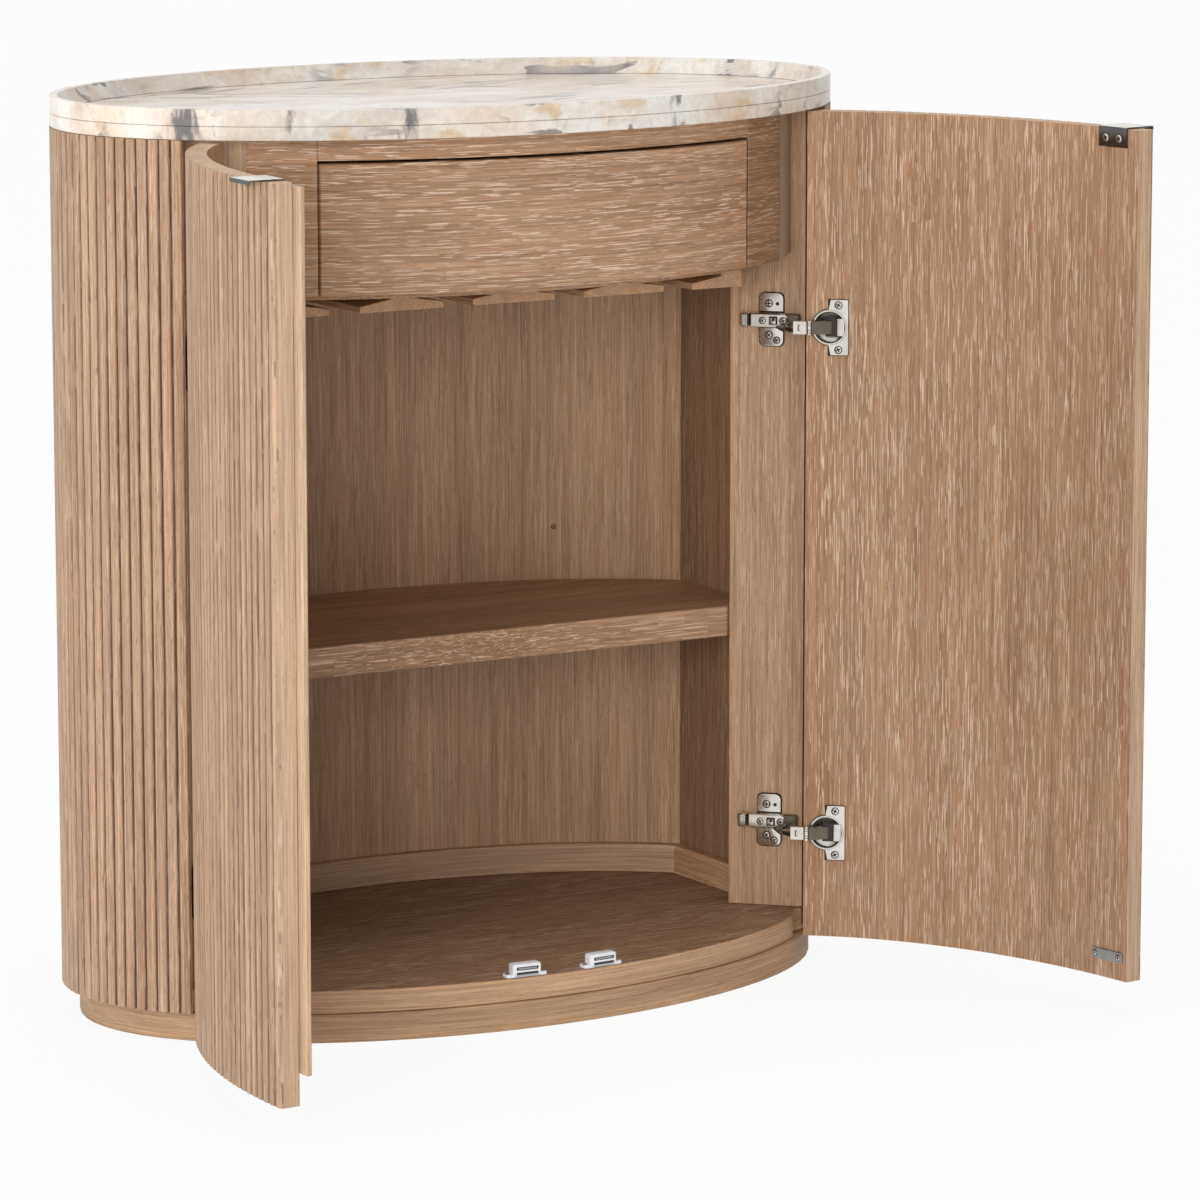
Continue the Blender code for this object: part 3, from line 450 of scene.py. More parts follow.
def oak(name, dark, light, grain, dashes=0.6, specks=0.3, source="object", seed=0.0):
    """Limed oak along one direction: figure, bands, fibres, pale dashes in pores, dark specks; on
    planks also painted shade that darkens the reed grooves.
    """
    made, tree, shader = tree_of(name)
    if source == "plank":
        place = add(tree, "ShaderNodeAttribute", attribute_name="plank").outputs["Vector"]
    elif source == "oval":
        place = round_the_oval(tree)
    else:
        place = add(tree, "ShaderNodeTexCoord").outputs["Object"]

    def along(share):
        return tuple(share if axis == grain else 1.0 for axis in "xyz")

    figure = noise(tree, place, 15, 3.0, 0.6, 0.5, along(0.08), (seed, 0, 0))
    bands = noise(tree, place, 85, 2.0, 0.5, 0.0, along(0.02), (3 + seed, 7, 1))
    slow = {"Vector": place, "Scale": 7.0, "Detail": 1.0}
    drift = add(tree, "ShaderNodeTexNoise", slow).outputs[1]
    sway = {0: drift, 1: (SWAY, SWAY, SWAY), 2: place}
    swayed = add(tree, "ShaderNodeVectorMath", sway, operation="MULTIPLY_ADD").outputs[0]
    fibres = noise(tree, swayed, 680, 2.0, 0.6, 0.0, along(0.012), (9, 2 + seed, 5))
    pores = strands(tree, swayed, grain, PORE_LENGTH, seed)
    clusters = noise(tree, place, 55, 2.0, 0.5, 0.3, along(0.05), (5, 5 + seed, 2))
    marks = strands(tree, swayed, grain, FLECK_LENGTH, seed + FLECK_SEED)

    colour = ramp(tree, figure, (0.30, dark), (0.70, light))
    colour = blend(tree, 1.0, colour, ramp(tree, bands, (0.30, 0.88), (0.70, 1.10)), "MULTIPLY")
    colour = blend(tree, 1.0, colour, ramp(tree, fibres, (0.28, 0.67), (0.72, 1.29)), "MULTIPLY")
    if source == "plank":
        tone = add(tree, "ShaderNodeAttribute", attribute_name="tone").outputs["Fac"]
        colour = blend(tree, 1.0, colour, ramp(tree, tone, (0.0, 0.88), (1.0, 1.08)), "MULTIPLY")
        # Painted shade: each reed's groove is darkened by its depth share, as shade falls in it.
        groove = add(tree, "ShaderNodeAttribute", attribute_name="groove").outputs["Fac"]
        shade = ramp(tree, groove, (0.05, 1.0), (0.40, 0.80), (1.0, 0.30))
        colour = blend(tree, 1.0, colour, shade, "MULTIPLY")
    spots = maths(tree, ramp(tree, marks, (0.62, 0.0), (0.70, 1.0)), specks, "MULTIPLY")
    colour = blend(tree, spots, colour, (0.50 * dark[0], 0.42 * dark[1], 0.36 * dark[2], 1))
    lime = ramp(tree, pores, (0.585, 0.0), (0.645, 1.0))
    lime = maths(tree, lime, ramp(tree, clusters, (0.36, 0.42), (0.60, 1.0)), "MULTIPLY")
    lime = maths(tree, lime, dashes, "MULTIPLY")
    colour = blend(tree, lime, colour, (*PALE, 1))
    rough = ramp(tree, fibres, (0.3, 0.60), (0.7, 0.46))
    height = maths(tree, fibres, lime, "SUBTRACT")
    surface(tree, shader, colour, rough, 0.25, 0.35 * MM, height)
    shader.inputs["Specular IOR Level"].default_value = 0.3
    return made


# Place and radius of each dark smudge on the stone
SMUDGES = (
    (-0.360, -0.130, 0.042),
    (-0.277, -0.192, 0.016),
    (-0.172, -0.233, 0.022),
    (0.116, -0.245, 0.018),
)


def smudge_mask(tree, place):
    """Strongest at the dark smudges round the stone's edge."""
    axes = add(tree, "ShaderNodeSeparateXYZ", {0: place}).outputs
    flat = add(tree, "ShaderNodeCombineXYZ", {0: axes[0], 1: axes[1]}).outputs[0]
    whole = None
    for x, y, radius in SMUDGES:
        away = add(tree, "ShaderNodeVectorMath", {0: flat, 1: (x, y, 0)}, operation="DISTANCE")
        bounds = {"Value": away.outputs["Value"], "From Max": radius, "To Min": 1.0, "To Max": 0.0}
        spot_share = add(tree, "ShaderNodeMapRange", bounds).outputs[0]
        whole = spot_share if whole is None else maths(tree, whole, spot_share, "MAXIMUM")
    return whole


def stone(name):
    """Polished cream stone: peach, grey and amber clouds, dark smudges and long thin streaks."""
    made, tree, shader = tree_of(name)
    place = add(tree, "ShaderNodeTexCoord").outputs["Object"]
    tilt = {"Vector": place, "Rotation": (0.0, 0.0, 0.30), "Scale": (0.7, 1.5, 0.9)}
    turned = add(tree, "ShaderNodeMapping", tilt).outputs[0]
    clouds = noise(tree, turned, 8.0, 5.0, 0.6, 0.5)
    warm = noise(tree, turned, 11.0, 5.0, 0.6, 0.5, shift=(4, 1, 7))
    grey = noise(tree, turned, 14.0, 5.0, 0.65, 0.4, shift=(2, 6, 3))
    amber = noise(tree, turned, 30.0, 4.0, 0.6, 0.4, shift=(8, 3, 2))
    smoke = noise(tree, place, 62.0, 4.0, 0.6, 0.3, (1.0, 1.0, 0.35), (3, 8, 6))
    grains = noise(tree, turned, 170.0, 3.0, 0.6, 0.4, shift=(1, 9, 4))
    peach = (0.34, (0.63, 0.51, 0.43))
    cream = (0.47, (0.72, 0.64, 0.56))
    milky = (0.58, (0.77, 0.74, 0.69))
    colour = ramp(tree, clouds, peach, cream, milky)
    colour = blend(tree, ramp(tree, warm, (0.48, 0.0), (0.66, 0.7)), colour, (0.70, 0.54, 0.42, 1))
    colour = blend(tree, ramp(tree, grey, (0.52, 0.0), (0.68, 0.6)), colour, (0.54, 0.48, 0.44, 1))
    colour = blend(tree, ramp(tree, amber, (0.57, 0.0), (0.68, 0.6)), colour, (0.60, 0.40, 0.18, 1))
    colour = blend(tree, 1.0, colour, ramp(tree, grains, (0.3, 0.88), (0.7, 1.06)), "MULTIPLY")
    for scale, angle, shift, low, high, depth, tint in (
        (60.0, 0.30, (5, 2, 8), 0.54, 0.62, 0.40, (0.86, 0.83, 0.79, 1)),
        (40.0, 0.05, (6, 1, 3), 0.55, 0.63, 0.60, (0.40, 0.31, 0.26, 1)),
        (52.0, 0.50, (2, 5, 1), 0.58, 0.61, 0.80, (0.09, 0.09, 0.11, 1)),
        (46.0, -0.35, (9, 4, 6), 0.58, 0.61, 0.75, (0.12, 0.11, 0.12, 1)),
    ):
        tilt = {"Vector": place, "Rotation": (0.0, 0.0, angle)}
        bent = add(tree, "ShaderNodeMapping", tilt).outputs[0]
        streaks = noise(tree, bent, scale, 3.0, 0.5, 0.5, (0.14, 1.0, 1.0), shift)
        patches = noise(tree, bent, 9.0, 2.0, 0.5, 0.3, (0.6, 1.0, 1.0), shift)
        streaks = ramp(tree, streaks, (low, 0.0), (high, depth))
        streaks = maths(tree, streaks, ramp(tree, patches, (0.50, 0.0), (0.60, 1.0)), "MULTIPLY")
        colour = blend(tree, streaks, colour, tint)
    smoke = maths(tree, smoke, maths(tree, smudge_mask(tree, place), 0.22, "MULTIPLY"), "ADD")
    smoke = ramp(tree, smoke, (0.66, 0.0), (0.80, 0.85))
    colour = blend(tree, smoke, colour, (0.09, 0.095, 0.105, 1))
    rough = ramp(tree, grains, (0.3, 0.26), (0.7, 0.16))
    surface(tree, shader, colour, rough, 0.05, 0.2 * MM, grains)
    shader.inputs["Specular IOR Level"].default_value = 0.35
    return made


def metal(name, colour, low, high, brushed=(1, 1, 1), worn=0.15):
    """Metal with fine scratches in its gloss and cloudy tone."""
    made, tree, shader = tree_of(name)
    place = add(tree, "ShaderNodeTexCoord").outputs["Object"]
    field = noise(tree, place, 500.0, 3.0, 0.6, 0.0, brushed)
    patches = noise(tree, place, 70.0, 3.0, 0.5, 0.3, shift=(2, 6, 1))
    darker = tuple((1 - worn) * c for c in colour)
    cloudy = ramp(tree, patches, (0.35, darker), (0.65, colour))
    rough = ramp(tree, field, (0.25, low), (0.75, high))
    surface(tree, shader, cloudy, rough, 0.04, 0.1 * MM, field)
    shader.inputs["Metallic"].default_value = 1.0
    return made


def plastic(name, colour, rough):
    """Moulded plastic with a fine skin."""
    made, tree, shader = tree_of(name)
    place = add(tree, "ShaderNodeTexCoord").outputs["Object"]
    skin = noise(tree, place, 900.0, 2.0)
    tint = noise(tree, place, 60.0, 2.0, shift=(3, 1, 8))
    softer = tuple(0.93 * c for c in colour)
    tinted = ramp(tree, tint, (0.3, softer), (0.7, colour))
    uneven = ramp(tree, skin, (0.3, rough + 0.06), (0.7, rough - 0.04))
    surface(tree, shader, tinted, uneven, 0.06, 0.08 * MM, skin)
    return made


LOOK = {
    "reed": oak("oak_reed", (0.355, 0.221, 0.135), (0.435, 0.280, 0.177), "z", 0.35, 0.60, "plank"),
    "door": oak(
        "oak_door_inside", (0.328, 0.186, 0.102), (0.395, 0.234, 0.135), "z", 0.75, 0.50, "plank"
    ),
    "edge": oak("oak_edge", (0.42, 0.275, 0.175), (0.54, 0.375, 0.25), "z", 0.35, 0.30),
    "front": oak("oak_front", (0.365, 0.208, 0.116), (0.45, 0.270, 0.157), "x", 0.90, 0.45, "oval"),
    "band": oak(
        "oak_band", (0.295, 0.172, 0.098), (0.39, 0.234, 0.139), "x", 0.80, 0.35, "oval", 2.0
    ),
    "upright": oak("oak_upright", (0.38, 0.238, 0.145), (0.45, 0.290, 0.180), "z", 0.45, 0.40),
    "lining": oak("oak_lining", (0.37, 0.230, 0.140), (0.45, 0.288, 0.180), "z", 0.30, 0.40),
    # Painted shade: the right stile's darker oak stands in for the shade that falls on it.
    "stile": oak(
        "oak_stile_painted_shade", (0.245, 0.135, 0.069), (0.30, 0.172, 0.091), "x", 0.50, 0.35, "oval", 4.0
    ),
    # Painted shade: the inner sides' dark oak stands in for the shade inside the cabinet.
    "side": oak("oak_side_painted_shade", (0.22, 0.126, 0.071), (0.27, 0.158, 0.091), "z", 0.25, 0.40),
    # Painted shade: a darker oak for the wall's inner face, its ends and caps, and the joint
    # strips.
    "shade": oak("oak_joint_painted_shade", (0.26, 0.158, 0.094), (0.32, 0.198, 0.120), "z", 0.30, 0.40),
    "top": oak("oak_top", (0.335, 0.196, 0.111), (0.437, 0.263, 0.150), "x", 0.40, 0.5),
    # Painted shade: the floor panel's dark top stands in for the shade inside the cabinet.
    "ground": oak(
        "oak_ground_painted_shade", (0.205, 0.121, 0.070), (0.27, 0.164, 0.096), "x", 0.60, 0.6, seed=3.0
    ),
    "skirt": oak(
        "oak_skirt", (0.40, 0.243, 0.136), (0.49, 0.313, 0.185), "x", 0.20, 0.35, "oval", 6.0
    ),
    "brim": oak(
        "oak_brim", (0.465, 0.283, 0.158), (0.57, 0.365, 0.216), "x", 0.20, 0.35, "oval", 6.0
    ),
    "kick": oak("oak_kick", (0.385, 0.248, 0.158), (0.465, 0.308, 0.200), "x", 0.12, 0.25, "oval"),
    "run": oak("oak_run", (0.405, 0.234, 0.128), (0.505, 0.304, 0.172), "y", 0.45, 0.35),
    "stone": stone("veined_stone_polished"),
    "nickel": metal("bright_nickel", (0.77, 0.73, 0.67), 0.18, 0.32),
    # Painted shade: dark nickel for hinge parts in shade or reflecting dark wood: necks, tongue,
    # lever ribs, link strap, cup spring.
    "nickel_painted_shade": metal("shaded_nickel", (0.17, 0.14, 0.11), 0.24, 0.38),
    # Painted shade: dark edges on the hinge plates and cup flanges, and a patch under the arm's
    # cover, for their shade.
    "rim": metal("nickel_edge_painted_shade", (0.06, 0.054, 0.05), 0.40, 0.55),
    "steel": metal("zinc_steel", (0.36, 0.37, 0.37), 0.30, 0.45, (0.1, 1, 1)),
    "pull": metal("dark_polished", (0.13, 0.125, 0.125), 0.12, 0.22, (1, 1, 0.1)),
    "white": plastic("white_moulded", (0.80, 0.81, 0.84), 0.32),
    # Painted shade: black for the link's slot and the gaps between its barrel's bands.
    "black": plastic("black_painted_shade", (0.030, 0.026, 0.022), 0.36),
    # Painted shadow: a dark sheet for screw seats, slots, windows and pockets where only shade
    # falls.
    "shadow": plastic("recess_painted_shadow", (0.030, 0.026, 0.024), 0.6),
}


# Solids that keep their shape: soft edges and materials
def geometry_group(name):
    group = bpy.data.node_groups.new(name, "GeometryNodeTree")
    group.interface.new_socket("Geometry", in_out="INPUT", socket_type="NodeSocketGeometry")
    group.interface.new_socket("Geometry", in_out="OUTPUT", socket_type="NodeSocketGeometry")
    start = group.nodes.new("NodeGroupInput").outputs[0]
    end = group.nodes.new("NodeGroupOutput").inputs[0]
    return group, start, end


def smooth_group():
    """Drops the flat normals and shades smooth across blunt edges."""
    group, start, end = geometry_group("soft_shading")
    drop = add(group, "GeometryNodeRemoveAttribute", {0: start, "Name": "custom_normal"})
    faces = add(group, "GeometryNodeSetShadeSmooth", {0: drop.outputs[0]}, domain="FACE")
    angle = add(group, "GeometryNodeInputMeshEdgeAngle").outputs["Unsigned Angle"]
    blunt = add(group, "FunctionNodeCompare", {0: angle, 1: BLUNT}, operation="LESS_THAN")
    inputs = {0: faces.outputs[0], "Shade Smooth": blunt.outputs[0]}
    edges = add(group, "GeometryNodeSetShadeSmooth", inputs, domain="EDGE")
    group.links.new(edges.outputs[0], end)
    return group


def repaint_group(name, look, field, axis, limit, operation):
    """Gives a look to faces whose normal or place, unsigned along one axis, passes a limit."""
    group, start, end = geometry_group(name)
    axes = add(group, "ShaderNodeSeparateXYZ", {0: add(group, field).outputs[0]}).outputs
    size = add(group, "ShaderNodeMath", {0: axes[axis]}, operation="ABSOLUTE").outputs[0]
    picked = add(group, "FunctionNodeCompare", {0: size, 1: limit}, operation=operation)
    inputs = {0: start, "Selection": picked.outputs[0], "Material": LOOK[look]}
    group.links.new(add(group, "GeometryNodeSetMaterial", inputs).outputs[0], end)
    return group


SMOOTH = smooth_group()
SHELF_EDGE = repaint_group("shelf_edge", "band", "GeometryNodeInputNormal", 2, 0.5, "LESS_THAN")
FLOOR_EDGE = repaint_group("floor_edge", "brim", "GeometryNodeInputNormal", 2, 0.5, "LESS_THAN")
STILE_END = repaint_group(
    "pale_stile_end", "edge", "GeometryNodeInputPosition", 0, STILE_OUTER - 1.5 * MM, "GREATER_THAN"
)


def soften(name, look, width=0.8 * MM, repaint=None, steps=2):
    """Keeps a CAD node: joins its facets, rounds its edges and gives it a material."""
    obj = NODES[name]
    obj.modifiers.new("weld", "WELD").merge_threshold = WELD
    flat = obj.modifiers.new("flat", "DECIMATE")
    flat.decimate_type = "DISSOLVE"
    flat.angle_limit = FLAT
    if repaint:
        obj.modifiers.new("repaint", "NODES").node_group = repaint
    obj.modifiers.new("shade", "NODES").node_group = SMOOTH
    bevel = obj.modifiers.new("round", "BEVEL")
    bevel.width = width
    bevel.segments = steps
    bevel.limit_method = "ANGLE"
    bevel.angle_limit = BLUNT
    obj.modifiers.new("weight", "WEIGHTED_NORMAL").keep_sharp = True
    obj.data.materials.clear()
    obj.data.materials.append(LOOK[look])


# New pieces
def piece(name, shape, looks, body, replaced=()):
    mesh = bpy.data.meshes.new(name)
    bmesh.ops.recalc_face_normals(shape, faces=shape.faces)
    shape.to_mesh(mesh)
    shape.free()
    for face in mesh.polygons:
        face.use_smooth = True
    mesh.set_sharp_from_angle(angle=SHARP)
    for look in looks:
        mesh.materials.append(LOOK[look])
    obj = bpy.data.objects.new(name, mesh)
    SCENE.collection.objects.link(obj)
    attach(obj, body)
    for node in replaced:
        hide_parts(node)
    return obj


def stack(shape, rings, looks=None):
    """Faces through rings of points, ends closed; looks are each band's, then the last cap's."""
    loops = [[shape.verts.new(p) for p in ring] for ring in rings]
    looks = looks or [0] * len(rings)
    for k, (low, high) in enumerate(zip(loops, loops[1:])):
        for i in range(len(low)):
            j = (i + 1) % len(low)
            shape.faces.new((low[i], low[j], high[j], high[i])).material_index = looks[k]
    shape.faces.new(loops[0]).material_index = looks[0]
    shape.faces.new(loops[-1]).material_index = looks[-1]


def framed(where, points, depth):
    place, first, second, third = where
    return [place + p[0] * first + p[1] * second + depth * third for p in points]


def rounded(width, height, radius, steps=5):
    points = []
    for sx, sy, turn in ((1, 1, 0), (-1, 1, 90), (-1, -1, 180), (1, -1, 270)):
        for step in range(steps):
            a = math.radians(turn + 90 * step / (steps - 1))
            x = sx * (0.5 * width - radius) + radius * math.cos(a)
            y = sy * (0.5 * height - radius) + radius * math.sin(a)
            points.append((x, y))
    return points


def circle(radius, steps, centre=(0, 0)):
    turns = [2 * math.pi * i / steps for i in range(steps)]
    return [(centre[0] + radius * math.cos(t), centre[1] + radius * math.sin(t)) for t in turns]


def drawn_in(points, by):
    """The outline made smaller by about this much on every side."""
    xs = [p[0] for p in points]
    ys = [p[1] for p in points]
    cx = 0.5 * (min(xs) + max(xs))
    cy = 0.5 * (min(ys) + max(ys))
    sx = 1 - 2 * by / (max(xs) - min(xs))
    sy = 1 - 2 * by / (max(ys) - min(ys))
    return [(cx + (x - cx) * sx, cy + (y - cy) * sy) for x, y in points]


def plate(shape, where, outline, low, high, edge, look=0, rim=None):
    """A plate from low to high along the third way, softened on top; rim is its edge's look."""
    rings = [
        framed(where, outline, low),
        framed(where, outline, high - edge),
        framed(where, drawn_in(outline, 0.3 * edge), high - 0.3 * edge),
        framed(where, drawn_in(outline, edge), high),
    ]
    side = look if rim is None else rim
    stack(shape, rings, [side, side, side, look])


def screw(shape, where, radius, height, turn=0.0, look=0, dark=1):
    """A pan head with a sunk cross, in a dark seat; the seat and the cross are painted shadow."""
    plate(shape, where, circle(1.28 * radius, 24), -0.2 * MM, 0.08 * MM, 0.02 * MM, dark)
    twelve = [math.radians(-15 + 30 * i + turn) for i in range(12)]

    def ring(r):
        return [(r * math.cos(t), r * math.sin(t)) for t in twelve]

    reach = 0.72 * radius
    slim = 0.22 * radius
    cross = []
    for quarter in range(4):
        a = math.radians(90 * quarter + turn)
        for x, y in ((reach, -slim), (reach, slim), (slim, slim)):
            cross.append((x * math.cos(a) - y * math.sin(a), x * math.sin(a) + y * math.cos(a)))
    rings = [
        framed(where, ring(radius), 0),
        framed(where, ring(radius), 0.45 * height),
        framed(where, ring(0.9 * radius), 0.8 * height),
        framed(where, ring(0.78 * radius), height),
        framed(where, cross, height),
        framed(where, [(0.8 * x, 0.8 * y) for x, y in cross], 0.25 * height),
    ]
    stack(shape, rings, [look, look, look, look, dark, dark])


# Reeded wall and doors
REED_HALF_PROFILE = (
    (0.000, 1.00),
    (0.048, 1.00),
    (0.070, 0.64),
    (0.100, 0.36),
    (0.140, 0.17),
    (0.200, 0.06),
    (0.270, 0.01),
    (0.360, 0.00),
)
REED_PROFILE = (
    *REED_HALF_PROFILE,
    *((1 - share, depth) for share, depth in REED_HALF_PROFILE[:0:-1]),
)


def reed_points(first, last, start=0.0):
    """(point, arc length, reed, share of the groove's depth) along the outer face."""
    found = []
    for reed in range(first, last):
        for share, depth in REED_PROFILE:
            if reed > first or share >= start:
                length = (reed + share) * REED_PITCH
                found.append((oval(angle_at(length), depth * GROOVE_DEPTH), length, reed, depth))
    return found


def reeded_skin(outer, rest, foot, top, place):
    """A wall through reed points, then plain points; each reed has grain and tone of its own, and
    each point its groove's depth share for the painted groove shade.
    """
    shape = bmesh.new()
    plank = shape.loops.layers.float_vector.new("plank")
    groove = shape.loops.layers.float.new("groove")
    tone = shape.faces.layers.float.new("tone")
    draws = random.Random(11)
    shifts = [(draws.uniform(0, 3), draws.uniform(0, 9), draws.random()) for _ in range(REEDS)]
    points = [place(p[0]) for p in outer] + [place(p) for p in rest]
    low = [shape.verts.new((p.x, p.y, foot)) for p in points]
    high = [shape.verts.new((p.x, p.y, top)) for p in points]
    count = len(points)
    run = 0.0
    for i in range(count):
        j = (i + 1) % count
        face = shape.faces.new((low[i], low[j], high[j], high[i]))
        if i < len(outer) - 1:
            across, rise, face[tone] = shifts[outer[i][2]]
            ends = (outer[i][1] + across, outer[j][1] + across)
            sunk = (outer[i][3], outer[j][3])
        else:
            step = (points[j] - points[i]).length
            rise = 0.0
            face[tone] = 0.6
            face.material_index = 2 if j == 0 else 1
            ends = (run, run + step)
            sunk = (0.0, 0.0)
            run += step
        for loop, end, z in zip(face.loops, (0, 1, 1, 0), (foot, foot, top, top)):
            loop[plank] = (ends[end], 0.0, z + rise)
            loop[groove] = sunk[end]
    for ring in (low, high):
        shape.faces.new(ring).material_index = 2
    return shape


def wall():
    inner_angle = on_joint(JOINT - REED_DEPTH * JOINT_NORMAL, WALL)
    outer = reed_points(DOOR_REEDS, REEDS - DOOR_REEDS)
    end = oval(angle_at((REEDS - DOOR_REEDS) * REED_PITCH), GROOVE_DEPTH)
    inner = arc(math.pi - inner_angle, inner_angle, WALL, 120)
    shape = reeded_skin(outer, [end, *inner], WALL_FOOT, WALL_TOP, lambda p: p)
    # The inner face, ends and caps take the darker oak as painted shade.
    looks = ("reed", "shade", "shade")
    piece("reeded_wall", shape, looks, "cabinet", ("outer_shell",))


def cut(obj, other):
    """Takes other out of obj for good, and removes it."""
    step = obj.modifiers.new("cut", "BOOLEAN")
    step.solver = "EXACT"
    step.operation = "DIFFERENCE"
    step.object = other
    bpy.context.view_layer.update()
    solid = obj.evaluated_get(bpy.context.evaluated_depsgraph_get())
    mesh = bpy.data.meshes.new_from_object(solid)
    obj.modifiers.remove(step)
    old = obj.data
    obj.data = mesh
    bpy.data.meshes.remove(old)
    mesh.name = obj.name
    bpy.data.objects.remove(other, do_unlink=True)


def door(word):
    turn = []
    for share in (0.0, 0.25, 0.5, 0.75, 1.0):
        inset = (1 - share) ** 2 * MEETING_ROUND
        turn.append(oval(front_angle(MEETING_EDGE + share**2 * MEETING_ROUND, inset), inset))
    reeds = reed_points(0, DOOR_REEDS, 0.5)
    # The root of the depth share spreads the painted groove shade wider across the doors' reeds.
    outer = [(p, length, reed, math.sqrt(depth)) for p, length, reed, depth in reeds]
    start = [(p, 0.5 * MM * i, 0, 0.0) for i, p in enumerate(turn)]
    inner = arc(DOOR_INNER_ANGLE, front_angle(MEETING_EDGE, WALL), WALL, 64)
    hinge_edge = [DOOR_OUTER, DOOR_INNER + DOOR_EDGE_REACH * tangent(DOOR_INNER_ANGLE)]
    shape = reeded_skin(
        start + outer, [*hinge_edge, *inner[1:]], DOOR_FOOT, DOOR_TOP, lambda p: swung(p, word)
    )
    looks = ("reed", "door", "edge")
    body = f"{word}_door_leaf"
    obj = piece(f"{word}_reeded_door", shape, looks, body, (f"{word}_door",))
    for z in HINGES.values():
        hole = bmesh.new()
        where = door_frame(word, CUP_ANGLE, z)
        ring = circle(CUP_BORE, 32)
        stack(hole, [framed(where, ring, depth) for depth in (-BORE_DEPTH, BORE_CLEAR)])
        bmesh.ops.recalc_face_normals(hole, faces=hole.faces)
        mesh = bpy.data.meshes.new("bore")
        hole.to_mesh(mesh)
        hole.free()
        cutter = bpy.data.objects.new("bore", mesh)
        SCENE.collection.objects.link(cutter)
        cut(obj, cutter)


def joint_cover(word):
    """A thin strip on the wall's leaning end beside the stile, in darker oak as painted shade, with
    a pale lower edge as a painted highlight of a lit ledge.
    """
    middle = JOINT - REED_DEPTH * JOINT_NORMAL + JOINT_COVER_MIDDLE * JOINT_INWARD
    height = DOOR_TOP - STILE_FOOT
    place = on_side(word, middle, 0.5 * (DOOR_TOP + STILE_FOOT))
    where = (place, on_side(word, JOINT_INWARD), UP, on_side(word, JOINT_FACING))
    shape = bmesh.new()
    strip = rounded(JOINT_COVER_WIDTH, height, 0.4 * MM)
    plate(shape, where, strip, -0.2 * MM, 0.3 * MM, 0.1 * MM)
    # The pale foot is a painted highlight of the lit ledge under the strip.
    foot = moved(where, 0, 0.5 * PALE_FOOT_PAINTED_HIGHLIGHT - 0.5 * height)
    plate(shape, foot, rounded(JOINT_COVER_WIDTH, PALE_FOOT_PAINTED_HIGHLIGHT, 0.4 * MM), 0, 0.45 * MM, 0.1 * MM, 1)
    piece(f"{word}_joint_cover", shape, ("shade", "edge"), "cabinet")


# Fittings
def catch(word):
    """A moulded catch: rounded body, two ears with screws, and two pole plates in front slots."""
    angle = front_angle(CATCH_X, WALL)
    place = on_side(word, oval(angle, WALL), FLOOR_TOP + 0.3 * MM)
    along = on_side(word, tangent(angle))
    inward = on_side(word, -normal(angle))
    middle = moved((place, along, inward, UP), 0, CATCH_FRONT + 0.5 * CATCH_DEEP)
    shape = bmesh.new()
    ears = rounded(CATCH_EARS, CATCH_DEEP, 3.5 * MM)
    plate(shape, middle, ears, 0, CATCH_EAR_THICK, 1.0 * MM)
    plate(shape, middle, rounded(CATCH_BODY, CATCH_DEEP, 2.4 * MM), 0.2 * MM, CATCH_TALL, 2.2 * MM)
    face = (place + CATCH_FRONT * inward, along, UP, -inward)
    # The slots are dark sheets of painted shadow; the lower slot's pole plate is painted dark as
    # shade, the upper one is steel.
    for rise, dark_height, tint in ((3.4, 2.4, 2), (8.2, 3.2, 1)):
        slot = moved(face, 0, rise * MM)
        recess = rounded(23.5 * MM, dark_height * MM, 0.6 * MM)
        plate(shape, slot, recess, -1 * MM, 0.10 * MM, 0.03 * MM, 2)
        pole = rounded(20 * MM, 0.5 * dark_height * MM, 0.4 * MM)
        plate(shape, slot, pole, -1 * MM, 0.30 * MM, 0.1 * MM, tint)
    for x in (-CATCH_SCREW, CATCH_SCREW):
        screw(shape, moved(middle, x, 0, CATCH_EAR_THICK), 2.1 * MM, 0.7 * MM, 20.0, 1, 2)
    looks = ("white", "steel", "shadow")
    piece(f"{word}_catch_body", shape, looks, "cabinet", (f"{word}_catch",))


PULL_BEND = (
    (2.2, -18.2),
    (2.2, 0.7),
    (1.9, 1.45),
    (1.1, 1.8),
    (-32.7, 1.8),
    (-33.6, 1.45),
    (-34.0, 0.7),
    (-34.0, -2.3),
    (-32.6, -2.3),
    (-32.6, 0.0),
    (-32.2, 0.3),
    (0.4, 0.3),
    (0.7, 0.0),
    (0.7, -18.2),
)
# Painted highlight: the tab's top and shoulders are bright nickel on the dark plate.
PULL_PAINTED_HIGHLIGHT_SIDES = (2, 3, 4)


def pull(word):
    """A bent plate over the door's top: a flange inside, a tab whose top is bright nickel as a
    painted highlight, and a turned-down lip.
    """
    body = f"{word}_door_leaf"
    place, along, up, out = door_frame(word, angle_at(PULL_FROM_EDGE + 0.5 * PULL_WIDTH), DOOR_TOP)
    where = (place, out, up, along)
    shape = bmesh.new()
    bend = [(x * MM, y * MM) for x, y in PULL_BEND]
    half = 0.5 * PULL_WIDTH
    ends = [[shape.verts.new(p) for p in framed(where, bend, d)] for d in (-half, half)]
    count = len(bend)
    for i in range(count):
        j = (i + 1) % count
        face = shape.faces.new((ends[0][i], ends[0][j], ends[1][j], ends[1][i]))
        face.material_index = 1 if i in PULL_PAINTED_HIGHLIGHT_SIDES else 0
    for end in ends:
        shape.faces.new(end)
    piece(f"{word}_edge_pull", shape, ("pull", "nickel"), body, (f"{word}_pull",))
    shape = bmesh.new()
    for x in (-9, 9):
        face = (place + x * MM * along - PULL_SCREW_DROP * up + CUP_FACE * out, along, up, out)
        screw(shape, face, 3.7 * MM, 1.3 * MM, 30.0 + 4 * x)
    piece(f"{word}_pull_screws", shape, ("nickel", "shadow"), body)


